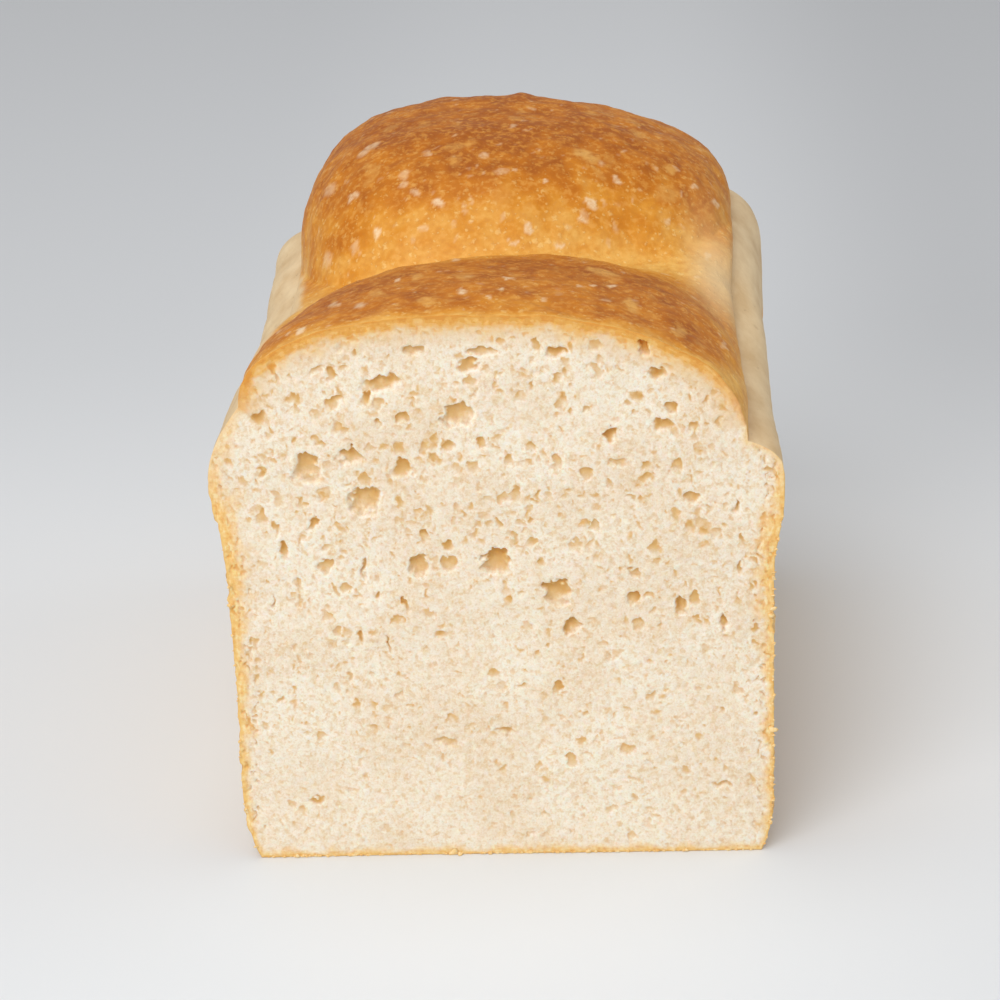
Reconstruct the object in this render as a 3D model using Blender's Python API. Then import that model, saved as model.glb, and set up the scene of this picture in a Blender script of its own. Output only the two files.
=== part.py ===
"""A white tin loaf with its front end sliced off.

The loaf lies along Y with its flat cut face toward -Y.  It was baked in a straight-sided
loaf tin from two balls of dough laid end to end, so its crown has two humps with an
oblique valley between them.  The dough rose over the tin's edge: a rounded shoulder runs
round the loaf above the widest line, and the brown crown starts in a crease inside it.

Every point of the skin is worked out from three parameters: across (-1 left to 1 right),
along (-1 front to 1 back) and level (0 on the base, 1 at the crease under the crown).
"""

import math

import bmesh
import bpy

MM = 0.001

# ---- sizes in millimetres; Y runs from the cut face until the loaf is centred ----
RIM_HALF_WIDTH = 60.0       # widest line, where the dough reached the tin's edge
WALL_HALF_WIDTH = 57.6      # the wall that stood against the tin
BASE_HALF_WIDTH = 54.8      # the flat part of the base
BASE_ROUND = 16.0           # height of the curve from base to wall
BASE_ROUND_POWER = 2.6      # larger bends more at the base
RIM_HEIGHT_LEFT = 88.8
RIM_HEIGHT_RIGHT = 84.0
RIM_SWELL = 10.0            # height over which the wall swells out to the rim
WHOLE_LENGTH = 186.0        # rim to rim before the front end was sliced off
BACK_END = 152.0            # rim at the back, from the cut face

CREASE_TUCK = 7.0           # how far the crease lies inside the rim
SHOULDER_POWER_LEFT = 2.0   # larger is a squarer shoulder
SHOULDER_POWER_RIGHT = 5.0
CREASE_LEFT_FRONT = 106.8   # height of the crease at the cut face and by the back hump
CREASE_LEFT_BACK = 100.0
CREASE_RIGHT_FRONT = 97.0
CREASE_RIGHT_BACK = 107.0
CREASE_CHANGE_START = 30.0  # where the crease starts to change height, and over how far
CREASE_CHANGE_LENGTH = 65.0

VALLEY = 61.0               # between the humps, on the centre line
VALLEY_SKEW = 0.18          # the valley runs obliquely, further back on the right
SKEW_FADE = 50.0            # behind the valley the skew dies out over this length
VALLEY_PINCH = 2.2          # the crown is narrower here
PINCH_LESS_RIGHT = 0.6      # by this share less at its right edge
VALLEY_PINCH_REACH = 16.0
BACK_SHIFT = 1.2            # the back hump sits to the right and is slimmer by as much
BACK_SHIFT_START = 41.0
BACK_SHIFT_LENGTH = 50.0

WAIST_LEFT = 3.0            # the sides sink in by this much halfway along
WAIST_RIGHT = 1.3
WAIST_MIDDLE = 72.0
WAIST_REACH = 50.0
WAIST_START = 15.0          # none at the cut face, all of it from here on
WAIST_HEIGHT = 60.0         # none at the base, all of it above this height

WALL_CORNER = 0.05          # how far the upright corners round in, of the half size
CROWN_CORNER = 0.10

UNEVENNESS = 0.45           # hand-shaped dough is never quite regular
UNEVEN_FROM = 2.0           # height over the base where it starts, and over how far
UNEVEN_FADE = 14.0

# ---- mesh ----
CELLS_ACROSS = 30
CELLS_ALONG = 46
WALL_RINGS = 13             # from the base to the rim
SHOULDER_RINGS = 6          # from the rim to the crease
EDGE_CROWDING = 0.8         # 0 spaces the crown's cells evenly, 1 crowds them to its edge
CUT_TOLERANCE = 0.02        # vertices this near to the slice are moved onto it
CREASE_ANGLE = math.radians(48.0)
NEARLY_ZERO = 1e-6

MIDDLE = BACK_END - WHOLE_LENGTH / 2.0
HALF_LENGTH = WHOLE_LENGTH / 2.0
CREASE_HALF_WIDTH = RIM_HALF_WIDTH - CREASE_TUCK
CREASE_HALF_LENGTH = HALF_LENGTH - CREASE_TUCK


class Hump:
    """One ball of dough, domed over the crease."""

    def __init__(self, top, centre, reach, tilt, shift, cross_power, steepness, back_power):
        self.top = top                  # height of its crest
        self.centre = centre            # place along the loaf
        self.reach = reach              # from its centre to the floor of the valley
        self.tilt = tilt                # slope of the crest from left to right
        self.shift = shift              # how far the crest lies right of the centre line
        self.cross_power = cross_power  # larger is flatter on top, seen from the end
        self.steepness = steepness      # larger rises more steeply from the crease
        self.back_power = back_power    # larger is squarer at the back; None has no back


FRONT_HUMP = Hump(126.0, 4.0, 64.0, -0.035, 0.0, 2.26, 2.37, None)
BACK_HUMP = Hump(135.2, 108.0, 47.0, -0.083, 2.0, 2.04, 2.71, 3.0)
REACH_POWER = 2.4
VALLEY_FLOOR = 0.03
VALLEY_SOFTNESS = 0.4
HUMP_BLEND = 3.0            # height over which the humps run together


def on_border(across, along):
    return max(abs(across), abs(along)) > 1.0 - NEARLY_ZERO


def smooth_step(t):
    t = min(max(t, 0.0), 1.0)
    return t * t * (3.0 - 2.0 * t)


def smooth_max(a, b, width):
    """The larger of two values, with the corner between them rounded over a width."""
    overlap = max(width - abs(a - b), 0.0)
    return max(a, b) + overlap * overlap / (4.0 * width)


def plan_point(across, along, half_width, half_length, corner):
    """A square laid onto a rectangle with round corners."""
    sharpness = (1.0 - 3.0 * corner) / corner
    tuck_x = corner * across ** 2 * abs(along) ** sharpness
    tuck_y = corner * along ** 2 * abs(across) ** sharpness
    x = half_width * across * (1.0 - tuck_x)
    y = half_length * along * (1.0 - tuck_y)
    return x, MIDDLE + y


def skewed(across, y):
    """The place along the loaf, seen from the oblique valley."""
    fade = 1.0 - smooth_step((y - VALLEY) / SKEW_FADE)
    return y - VALLEY_SKEW * CREASE_HALF_WIDTH * across * fade


def crease_height(across, along_valley):
    change = smooth_step((along_valley - CREASE_CHANGE_START) / CREASE_CHANGE_LENGTH)
    left = CREASE_LEFT_FRONT + (CREASE_LEFT_BACK - CREASE_LEFT_FRONT) * change
    right = CREASE_RIGHT_FRONT + (CREASE_RIGHT_BACK - CREASE_RIGHT_FRONT) * change
    return 0.5 * (left + right) + 0.5 * (right - left) * across


def hump_rise(hump, across, along, x, along_valley, base):
    """How far a hump's surface stands above the crease."""
    lean = hump.shift / CREASE_HALF_WIDTH
    a = min(max(across - lean * (1.0 - across ** 2), -1.0), 1.0)
    section = max(1.0 - abs(a) ** hump.cross_power, NEARLY_ZERO)
    behind = along_valley - hump.centre
    fall = 0.0
    if hump.back_power is None or behind < 0.0:
        fall = abs(behind / hump.reach) ** REACH_POWER
    fill = smooth_max(1.0 - fall / section, VALLEY_FLOOR, VALLEY_SOFTNESS)
    if hump.back_power is not None:
        start = (hump.centre - MIDDLE) / CREASE_HALF_LENGTH
        to_back = min(max((along - start) / (1.0 - start), 0.0), 1.0)
        fill *= 1.0 - to_back ** hump.back_power
    height = hump.top + hump.tilt * x - base
    return height * max(section * fill, 0.0) ** (1.0 / hump.steepness)


def crown_point(across, along):
    """A point of the brown crown, or of the crease when it lies on the border."""
    y = plan_point(across, along, CREASE_HALF_WIDTH, CREASE_HALF_LENGTH, CROWN_CORNER)[1]
    along_valley = skewed(across, y)
    shift = BACK_SHIFT * smooth_step((along_valley - BACK_SHIFT_START) / BACK_SHIFT_LENGTH)
    pinch = VALLEY_PINCH * math.exp(-((along_valley - VALLEY) / VALLEY_PINCH_REACH) ** 2)
    pinch *= 1.0 - PINCH_LESS_RIGHT * smooth_step(across)
    half_width = CREASE_HALF_WIDTH - pinch - shift
    x = plan_point(across, along, half_width, CREASE_HALF_LENGTH, CROWN_CORNER)[0] + shift
    base = crease_height(across, along_valley)
    if on_border(across, along):
        return x, y, base
    front = hump_rise(FRONT_HUMP, across, along, x, along_valley, base)
    back = hump_rise(BACK_HUMP, across, along, x, along_valley, base)
    return x, y, base + smooth_max(front, back, HUMP_BLEND)


def wall_inset(height, rim_height):
    """How far the wall lies inside the rim, at a height below it."""
    flare = (RIM_HALF_WIDTH - WALL_HALF_WIDTH) * math.exp(-((height - rim_height) / RIM_SWELL) ** 2)
    below = max(1.0 - height / BASE_ROUND, 0.0) ** BASE_ROUND_POWER
    return RIM_HALF_WIDTH - WALL_HALF_WIDTH - flare + (WALL_HALF_WIDTH - BASE_HALF_WIDTH) * below


def skin_point(across, along, level):
    """A point of the whole, unsliced loaf, in millimetres from the cut face."""
    rim_level = WALL_RINGS / (WALL_RINGS + SHOULDER_RINGS)
    if level > 1.0 - NEARLY_ZERO:
        return crown_point(across, along)
    rim_height = 0.5 * (RIM_HEIGHT_LEFT + RIM_HEIGHT_RIGHT)
    rim_height += 0.5 * (RIM_HEIGHT_RIGHT - RIM_HEIGHT_LEFT) * across
    if level <= rim_level:
        height = rim_height * level / rim_level
        inset = wall_inset(height, rim_height)
        x, y = plan_point(across, along, RIM_HALF_WIDTH - inset, HALF_LENGTH - inset, WALL_CORNER)
        return x, y, height
    rise = (level - rim_level) / (1.0 - rim_level)
    power = 0.5 * (SHOULDER_POWER_LEFT + SHOULDER_POWER_RIGHT)
    power += 0.5 * (SHOULDER_POWER_RIGHT - SHOULDER_POWER_LEFT) * across
    tuck = rise ** power
    rim_x, rim_y = plan_point(across, along, RIM_HALF_WIDTH, HALF_LENGTH, WALL_CORNER)
    crease_x, crease_y, crease_z = crown_point(across, along)
    x = rim_x + (crease_x - rim_x) * tuck
    y = rim_y + (crease_y - rim_y) * tuck
    return x, y, rim_height + (crease_z - rim_height) * rise


def waist(x, y, z):
    """How far a place moves to the right because the loaf is slimmer halfway along."""
    share = x / RIM_HALF_WIDTH
    depth = 0.5 * (WAIST_LEFT + WAIST_RIGHT) + 0.5 * (WAIST_RIGHT - WAIST_LEFT) * share
    lengthwise = math.exp(-((y - WAIST_MIDDLE) / WAIST_REACH) ** 2) * smooth_step(y / WAIST_START)
    return -depth * share * abs(share) * lengthwise * smooth_step(z / WAIST_HEIGHT)


def unevenness(x, y, z):
    """Swells of 80 to 120 mm and half as high ripples of 30 to 50 mm, none at the base."""
    swell = math.sin(x / 12.0 + y / 16.4 + 1.3) * math.sin(z / 14.1 - y / 19.2 + 0.4)
    ripple = math.sin(y / 4.8 + x / 7.7 + 2.0) * math.sin(x / 5.9 - z / 8.3 + 0.8)
    return UNEVENNESS * (swell + 0.5 * ripple) * smooth_step((z - UNEVEN_FROM) / UNEVEN_FADE)


def crowded(t):
    """Moves evenly spaced values from -1 to 1 toward both ends."""
    return (1.0 - EDGE_CROWDING) * t + EDGE_CROWDING * math.sin(0.5 * math.pi * t)


def parameter_sheet():
    """The crown as a flat grid, with a skirt of rings hanging from its border to the base."""
    bm = bmesh.new()
    bmesh.ops.create_grid(bm, x_segments=CELLS_ACROSS, y_segments=CELLS_ALONG, size=1.0)
    for vertex in bm.verts:
        vertex.co.x = crowded(vertex.co.x)
        vertex.co.y = crowded(vertex.co.y)
        vertex.co.z = 1.0
    rings = WALL_RINGS + SHOULDER_RINGS
    border = [edge for edge in bm.edges if edge.is_boundary]
    for ring in range(1, rings + 1):
        grown = bmesh.ops.extrude_edge_only(bm, edges=border)["geom"]
        for vertex in (item for item in grown if isinstance(item, bmesh.types.BMVert)):
            vertex.co.z = 1.0 - ring / rings
        new_edges = [item for item in grown if isinstance(item, bmesh.types.BMEdge)]
        border = [edge for edge in new_edges if edge.is_boundary]
    bmesh.ops.holes_fill(bm, edges=border, sides=0)
    return bm


def shape_skin(bm):
    for vertex in bm.verts:
        x, y, z = skin_point(*vertex.co)
        vertex.co = (x + waist(x, y, z), y, z)
    bmesh.ops.recalc_face_normals(bm, faces=bm.faces)
    bm.normal_update()
    moves = [vertex.normal * unevenness(*vertex.co) for vertex in bm.verts]
    for vertex, move in zip(bm.verts, moves):
        vertex.co += move


def slice_front(bm):
    """Cuts the front end away at Y = 0 and closes the loaf with one flat face."""
    geometry = bm.verts[:] + bm.edges[:] + bm.faces[:]
    bmesh.ops.bisect_plane(
        bm, geom=geometry, dist=CUT_TOLERANCE, plane_co=(0.0, 0.0, 0.0),
        plane_no=(0.0, -1.0, 0.0), clear_outer=True)
    rim = [edge for edge in bm.edges if edge.is_boundary]
    bmesh.ops.holes_fill(bm, edges=rim, sides=0)


def centre_loaf(bm):
    """Puts the origin under the middle of the bounding box, on the base, in metres."""
    xs = [vertex.co.x for vertex in bm.verts]
    ys = [vertex.co.y for vertex in bm.verts]
    zs = [vertex.co.z for vertex in bm.verts]
    shift_x = 0.5 * (min(xs) + max(xs))
    shift_y = 0.5 * (min(ys) + max(ys))
    for vertex in bm.verts:
        vertex.co.x = (vertex.co.x - shift_x) * MM
        vertex.co.y = (vertex.co.y - shift_y) * MM
        vertex.co.z = (vertex.co.z - min(zs)) * MM


def crust_material():
    material = bpy.data.materials.new("baked_crust")
    material.use_nodes = True
    shader = material.node_tree.nodes["Principled BSDF"]
    shader.inputs["Base Color"].default_value = (0.56, 0.24, 0.066, 1.0)
    shader.inputs["Roughness"].default_value = 0.55
    shader.inputs["Metallic"].default_value = 0.0
    return material


def build():
    for item in list(bpy.data.objects):
        bpy.data.objects.remove(item, do_unlink=True)
    loaf_parts = bpy.data.collections.new("tin_loaf")
    bpy.context.scene.collection.children.link(loaf_parts)

    bm = parameter_sheet()
    shape_skin(bm)
    slice_front(bm)
    centre_loaf(bm)
    bmesh.ops.recalc_face_normals(bm, faces=bm.faces)

    mesh = bpy.data.meshes.new("loaf")
    bm.to_mesh(mesh)
    bm.free()
    mesh.shade_smooth()
    mesh.set_sharp_from_angle(angle=CREASE_ANGLE)
    mesh.materials.append(crust_material())
    loaf = bpy.data.objects.new("loaf", mesh)
    loaf_parts.objects.link(loaf)


build()
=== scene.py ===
"""How the tin loaf looks: its crust, its cut crumb with the pores, and loose crumbs.

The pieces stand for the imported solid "loaf" and repeat its form at a finer scale.
Sizes are in millimetres until a mesh is made: X runs left to right over the cut face,
Y from the cut face to the back of the loaf, and Z up from the base.
"""

import math

import bmesh
import bpy
import numpy as np
from mathutils import Matrix, Vector, geometry


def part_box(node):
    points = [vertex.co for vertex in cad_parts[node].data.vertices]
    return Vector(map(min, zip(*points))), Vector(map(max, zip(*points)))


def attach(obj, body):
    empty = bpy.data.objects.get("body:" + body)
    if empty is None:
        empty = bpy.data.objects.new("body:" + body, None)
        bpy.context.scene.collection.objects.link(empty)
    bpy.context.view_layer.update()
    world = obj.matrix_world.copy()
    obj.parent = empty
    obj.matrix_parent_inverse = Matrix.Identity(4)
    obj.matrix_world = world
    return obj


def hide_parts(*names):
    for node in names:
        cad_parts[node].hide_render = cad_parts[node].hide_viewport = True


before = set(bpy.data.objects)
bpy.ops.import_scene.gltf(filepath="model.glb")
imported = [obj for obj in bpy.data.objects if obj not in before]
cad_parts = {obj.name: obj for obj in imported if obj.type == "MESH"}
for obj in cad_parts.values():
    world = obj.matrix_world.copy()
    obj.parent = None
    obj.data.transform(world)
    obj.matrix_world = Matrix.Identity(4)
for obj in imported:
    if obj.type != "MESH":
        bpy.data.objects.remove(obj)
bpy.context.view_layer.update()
LOAF_LOW, LOAF_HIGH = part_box("loaf")

MM = 0.001
SEED = 7

# ---- the form of the loaf, as the solid has it ----
RIM_HALF_WIDTH = 60.0
WALL_HALF_WIDTH = 57.6
BASE_HALF_WIDTH = 54.8
BASE_ROUND = 16.0
BASE_ROUND_POWER = 2.6
RIM_HEIGHT_LEFT = 88.8
RIM_HEIGHT_RIGHT = 84.0
RIM_SWELL = 10.0
WHOLE_LENGTH = 186.0
BACK_END = 152.0
CREASE_TUCK = 7.0
SHOULDER_POWER_LEFT = 2.0
SHOULDER_POWER_RIGHT = 5.0
CREASE_LEFT_FRONT = 106.8
CREASE_LEFT_BACK = 100.0
CREASE_RIGHT_FRONT = 97.0
CREASE_RIGHT_BACK = 107.0
CREASE_CHANGE_START = 30.0
CREASE_CHANGE_LENGTH = 65.0
VALLEY = 61.0
VALLEY_SKEW = 0.18
SKEW_FADE = 50.0
VALLEY_PINCH = 2.2
PINCH_LESS_RIGHT = 0.6
VALLEY_PINCH_REACH = 16.0
BACK_SHIFT = 1.2
BACK_SHIFT_START = 41.0
BACK_SHIFT_LENGTH = 50.0
WAIST_LEFT = 3.0
WAIST_RIGHT = 1.3
WAIST_MIDDLE = 72.0
WAIST_REACH = 50.0
WAIST_START = 15.0
WAIST_HEIGHT = 60.0
WALL_CORNER = 0.05
CROWN_CORNER = 0.10
UNEVENNESS = 0.45
UNEVEN_FROM = 2.0
UNEVEN_FADE = 14.0
REACH_POWER = 2.4
VALLEY_FLOOR = 0.03
VALLEY_SOFTNESS = 0.4
RIGHT_FLOOR = 0.08           # at the right end of the valley
RIGHT_SOFTNESS = 0.8
RIGHT_START = 0.4            # which is there from this share of the half width
RIGHT_FADE = 0.5
HUMP_BLEND = 3.0
HUMP_BLEND_RIGHT = 9.0
BLEND_START = 0.2
BLEND_FADE = 0.5
NEARLY_ZERO = 1e-6
HALVINGS = 40                # steps of the search for the cut
KNIFE_SWELL = 0.16           # how far the knife strayed from a flat cut
KNIFE_RIPPLE = 0.10

MIDDLE = BACK_END - WHOLE_LENGTH / 2.0
HALF_LENGTH = WHOLE_LENGTH / 2.0
CREASE_HALF_WIDTH = RIM_HALF_WIDTH - CREASE_TUCK
CREASE_HALF_LENGTH = HALF_LENGTH - CREASE_TUCK

# top, centre, reach, tilt, shift, cross power, steepness, back power
FRONT_HUMP = (126.0, 4.0, 64.0, -0.035, 0.0, 2.26, 2.37, None)
BACK_HUMP = (135.2, 108.0, 47.0, -0.083, 2.0, 2.04, 2.71, 3.0)

# ---- fineness of the meshes ----
COARSEN = 1
CROWN_ACROSS = 270 // COARSEN
CROWN_ALONG = 340 // COARSEN
BACK_ACROSS = CROWN_ACROSS // 3
WALL_RINGS = 140 // COARSEN
SHOULDER_RINGS = 40 // COARSEN
EDGE_CROWDING = 0.8
FRONT_STEP = 0.35            # steps behind the cut, as a share of full ones
FRONT_STEPS_END = 0.25
BACK_STEP = 0.25             # and steps towards the back
BACK_STEPS_START = 0.8
BACK_STEPS_LENGTH = 0.2
CRUMB_CELL = 0.25 * COARSEN
CRUMB_FACES = 190_000


# ---- small helpers ----

def smooth_step(t):
    t = np.clip(t, 0.0, 1.0)
    return t * t * (3.0 - 2.0 * t)


def smooth_max(a, b, width):
    overlap = np.maximum(width - np.abs(a - b), 0.0)
    return np.maximum(a, b) + overlap * overlap / (4.0 * width)


def blend(a, b, t):
    return a + (b - a) * t


def left_to_right(left, right, across):
    """A value that changes evenly from the left edge (across -1) to the right one (1)."""
    return 0.5 * (left + right) + 0.5 * (right - left) * across


def colour(red, green, blue):
    """A colour given as it looks on a screen, 0 to 255, as the linear values of a shader."""
    values = []
    for value in (red, green, blue):
        c = value / 255.0
        values.append(c / 12.92 if c <= 0.04045 else ((c + 0.055) / 1.055) ** 2.4)
    return (*values, 1.0)


def waves(points, wavelength, seed, count=40):
    """Smooth random swells in space, with a standard deviation of 1."""
    rng = np.random.default_rng(seed)
    directions = rng.normal(size=(count, 3))
    directions /= np.linalg.norm(directions, axis=1)[:, None]
    lengths = wavelength * rng.uniform(0.7, 1.4, count)
    phases = rng.uniform(0.0, 2.0 * math.pi, count)
    total = np.zeros(len(points))
    for direction, length, phase in zip(directions, lengths, phases):
        total += np.cos(points @ direction * (2.0 * math.pi / length) + phase)
    return total * math.sqrt(2.0 / count)


def with_waves(values, points, sheets):
    """Adds waves to values; each sheet of waves is a height, a wavelength and a seed."""
    for height, wavelength, seed in sheets:
        values = values + height * waves(points, wavelength, seed)
    return values


# ---- the form of the skin ----

def plan_point(across, along, half_width, half_length, corner):
    sharpness = (1.0 - 3.0 * corner) / corner
    tuck_x = corner * across ** 2 * np.abs(along) ** sharpness
    tuck_y = corner * along ** 2 * np.abs(across) ** sharpness
    return half_width * across * (1.0 - tuck_x), MIDDLE + half_length * along * (1.0 - tuck_y)


def skewed(across, y):
    fade = 1.0 - smooth_step((y - VALLEY) / SKEW_FADE)
    return y - VALLEY_SKEW * CREASE_HALF_WIDTH * across * fade


def crease_height(across, along_valley):
    change = smooth_step((along_valley - CREASE_CHANGE_START) / CREASE_CHANGE_LENGTH)
    left = blend(CREASE_LEFT_FRONT, CREASE_LEFT_BACK, change)
    right = blend(CREASE_RIGHT_FRONT, CREASE_RIGHT_BACK, change)
    return left_to_right(left, right, across)


def hump_rise(hump, across, along, x, along_valley, base):
    top, centre, reach, tilt, shift, cross_power, steepness, back_power = hump
    lean = shift / CREASE_HALF_WIDTH
    a = np.clip(across - lean * (1.0 - across ** 2), -1.0, 1.0)
    section = np.maximum(1.0 - np.abs(a) ** cross_power, NEARLY_ZERO)
    behind = along_valley - centre
    fall = np.abs(behind / reach) ** REACH_POWER
    if back_power is not None:
        fall = np.where(behind < 0.0, fall, 0.0)
    right = smooth_step((across - RIGHT_START) / RIGHT_FADE)
    floor = blend(VALLEY_FLOOR, RIGHT_FLOOR, right)
    fill = smooth_max(1.0 - fall / section, floor, blend(VALLEY_SOFTNESS, RIGHT_SOFTNESS, right))
    if back_power is not None:
        start = (centre - MIDDLE) / CREASE_HALF_LENGTH
        to_back = np.clip((along - start) / (1.0 - start), 0.0, 1.0)
        fill = fill * (1.0 - to_back ** back_power)
    height = top + tilt * x - base
    return height * np.maximum(section * fill, 0.0) ** (1.0 / steepness)


def crown_point(across, along):
    """Points of the crown, whose border is the crease, and how far each stands above it."""
    y = plan_point(across, along, CREASE_HALF_WIDTH, CREASE_HALF_LENGTH, CROWN_CORNER)[1]
    along_valley = skewed(across, y)
    shift = BACK_SHIFT * smooth_step((along_valley - BACK_SHIFT_START) / BACK_SHIFT_LENGTH)
    pinch = VALLEY_PINCH * np.exp(-((along_valley - VALLEY) / VALLEY_PINCH_REACH) ** 2)
    pinch = pinch * (1.0 - PINCH_LESS_RIGHT * smooth_step(across))
    half_width = CREASE_HALF_WIDTH - pinch - shift
    x = plan_point(across, along, half_width, CREASE_HALF_LENGTH, CROWN_CORNER)[0] + shift
    base = crease_height(across, along_valley)
    front = hump_rise(FRONT_HUMP, across, along, x, along_valley, base)
    back = hump_rise(BACK_HUMP, across, along, x, along_valley, base)
    inside = np.maximum(np.abs(across), np.abs(along)) < 1.0 - NEARLY_ZERO
    width = blend(HUMP_BLEND, HUMP_BLEND_RIGHT, smooth_step((across - BLEND_START) / BLEND_FADE))
    rise = np.where(inside, smooth_max(front, back, width), 0.0)
    return x, y, base + rise, rise


def rim_height(across):
    return left_to_right(RIM_HEIGHT_LEFT, RIM_HEIGHT_RIGHT, across)


def wall_point(across, along, height_share):
    """Points between the base and the rim."""
    rim = rim_height(across)
    height = rim * height_share
    flare = (RIM_HALF_WIDTH - WALL_HALF_WIDTH) * np.exp(-((height - rim) / RIM_SWELL) ** 2)
    below = np.maximum(1.0 - height / BASE_ROUND, 0.0) ** BASE_ROUND_POWER
    inset = RIM_HALF_WIDTH - WALL_HALF_WIDTH - flare + (WALL_HALF_WIDTH - BASE_HALF_WIDTH) * below
    x, y = plan_point(across, along, RIM_HALF_WIDTH - inset, HALF_LENGTH - inset, WALL_CORNER)
    return x, y, height


def shoulder_point(across, along, rise):
    """Points between the rim and the crease."""
    tuck = rise ** left_to_right(SHOULDER_POWER_LEFT, SHOULDER_POWER_RIGHT, across)
    rim_x, rim_y = plan_point(across, along, RIM_HALF_WIDTH, HALF_LENGTH, WALL_CORNER)
    crease_x, crease_y, crease_z, _ = crown_point(across, along)
    rim = rim_height(across)
    return blend(rim_x, crease_x, tuck), blend(rim_y, crease_y, tuck), blend(rim, crease_z, rise)


def side_point(across, along, level):
    """Points from the base (level 0) over the rim (1) to the crease (2)."""
    wall = wall_point(across, along, np.minimum(level, 1.0))
    shoulder = shoulder_point(across, along, np.clip(level - 1.0, 0.0, 1.0))
    return tuple(np.where(level <= 1.0, w, s) for w, s in zip(wall, shoulder))


def cut_along(point, across, *rest):
    """How far along each line of the skin the cut lies."""
    shape = np.broadcast(across, *rest).shape
    low = np.full(shape, -1.0)
    high = np.full(shape, 1.0)
    for _ in range(HALVINGS):
        middle = 0.5 * (low + high)
        before = point(across, middle, *rest)[1] < 0.0
        low = np.where(before, middle, low)
        high = np.where(before, high, middle)
    return high


def waist(x, y, z):
    """How far a place moves to the right because the loaf is slimmer halfway along."""
    share = x / RIM_HALF_WIDTH
    depth = left_to_right(WAIST_LEFT, WAIST_RIGHT, share)
    lengthwise = np.exp(-((y - WAIST_MIDDLE) / WAIST_REACH) ** 2) * smooth_step(y / WAIST_START)
    return -depth * share * np.abs(share) * lengthwise * smooth_step(z / WAIST_HEIGHT)


def unevenness(x, y, z):
    swell = np.sin(x / 12.0 + y / 16.4 + 1.3) * np.sin(z / 14.1 - y / 19.2 + 0.4)
    ripple = np.sin(y / 4.8 + x / 7.7 + 2.0) * np.sin(x / 5.9 - z / 8.3 + 0.8)
    return UNEVENNESS * (swell + 0.5 * ripple) * smooth_step((z - UNEVEN_FROM) / UNEVEN_FADE)


def crowded(count):
    t = np.linspace(-1.0, 1.0, count + 1)
    return (1.0 - EDGE_CROWDING) * t + EDGE_CROWDING * np.sin(0.5 * math.pi * t)


def steps_along(count):
    """Shares of the way from the cut to the back, closer together at both ends."""
    t = (np.arange(count) + 0.5) / count
    size = blend(FRONT_STEP, 1.0, smooth_step(t / FRONT_STEPS_END))
    size *= blend(1.0, BACK_STEP, smooth_step((t - BACK_STEPS_START) / BACK_STEPS_LENGTH))
    steps = np.concatenate([[0.0], np.cumsum(size)])
    return steps / steps[-1]


def knife_waves(x, z):
    """How far behind a flat cut the knife went."""
    return KNIFE_SWELL * np.sin(z / 9.0 + x / 31.0 + 0.7) + KNIFE_RIPPLE * np.sin(z / 3.7 - x / 14.0)


# ---- meshes ----

def grid_faces(rows, columns):
    """Quads of a grid of vertices numbered row by row."""
    r, c = np.meshgrid(np.arange(rows - 1), np.arange(columns - 1), indexing="ij")
    corner = (r * columns + c).ravel()
    return np.stack([corner, corner + 1, corner + columns + 1, corner + columns], axis=1)


def make_mesh(name, points, faces):
    """A mesh from points in millimetres in the loaf's own frame."""
    mesh = bpy.data.meshes.new(name)
    mesh.from_pydata(points.tolist(), [], [list(face) for face in faces])
    mesh.update()
    return mesh


def vertex_normals(points, faces):
    """The normals at the points of a skin, from a mesh that is made for this only."""
    mesh = make_mesh("scratch", points, faces)
    values = np.zeros(len(mesh.vertices) * 3, np.float32)
    mesh.vertex_normals.foreach_get("vector", values)
    bpy.data.meshes.remove(mesh)
    return values.reshape(-1, 3).astype(float)


def set_attribute(mesh, name, values):
    layer = mesh.attributes.new(name, "FLOAT", "POINT")
    layer.data.foreach_set("value", np.asarray(values, np.float32).ravel())


def add_piece(name, mesh, material, shift):
    """Places a finished mesh in the frame, in metres, riding on the loaf's body."""
    mesh.transform(Matrix.Scale(MM, 4) @ Matrix.Translation(shift))
    mesh.shade_smooth()
    mesh.materials.append(material)
    piece = bpy.data.objects.new(name, mesh)
    bpy.context.scene.collection.objects.link(piece)
    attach(piece, "root")
    return piece


# ---- the crust ----

RELIEF_FADE = 6.0           # the small relief starts this far from the crease
CUT_REACH = 5.0             # how far behind the cut the knife's waves still show
TUCK_IN = 0.8               # the crown goes on a little under the shoulder
TUCK_DOWN = 1.4
CROWN_WAVES = [(0.10, 9.0, 11), (0.04, 3.2, 12)]
FLECK_RELIEF = 0.10
PEAK = (3.0, 123.0, 2.6, 6.0, 1.1)      # a small peak on the back crest: x, y, reaches, height

BAKE_POWER = 0.62           # how soon the humps are brown on the way up to their crests
HUMP_CHANGE = 12.0          # the shade changes from hump to hump this far around the valley
VALLEY_PALER = 0.85         # the valley between the humps is pale
VALLEY_REACH = 13.0
FRONT_BAKE = 0.92           # the front hump is less brown than the back one
FRONT_END = 25.0            # what is said of the front hump alone fades out from here
FRONT_FADE = 20.0
FRONT_RIGHT_BAKE = 0.16     # it is browner on its right
FRONT_RIGHT_START = 15.0
FRONT_RIGHT_FADE = 25.0
RIGHT_END_PALER = 0.30      # but paler again at its right end
RIGHT_END_START = 43.0
RIGHT_END_FADE = 8.0
CUT_PALER = 0.60            # the crown is paler where it was cut
CUT_PALER_REACH = 2.6
FRONT_PALER = 0.30          # and gets browner over this distance towards its crest
FRONT_PALER_REACH = 10.0
FRONT_PALER_START = -46.0   # apart from its left end
FRONT_PALER_FADE = 16.0

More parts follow.
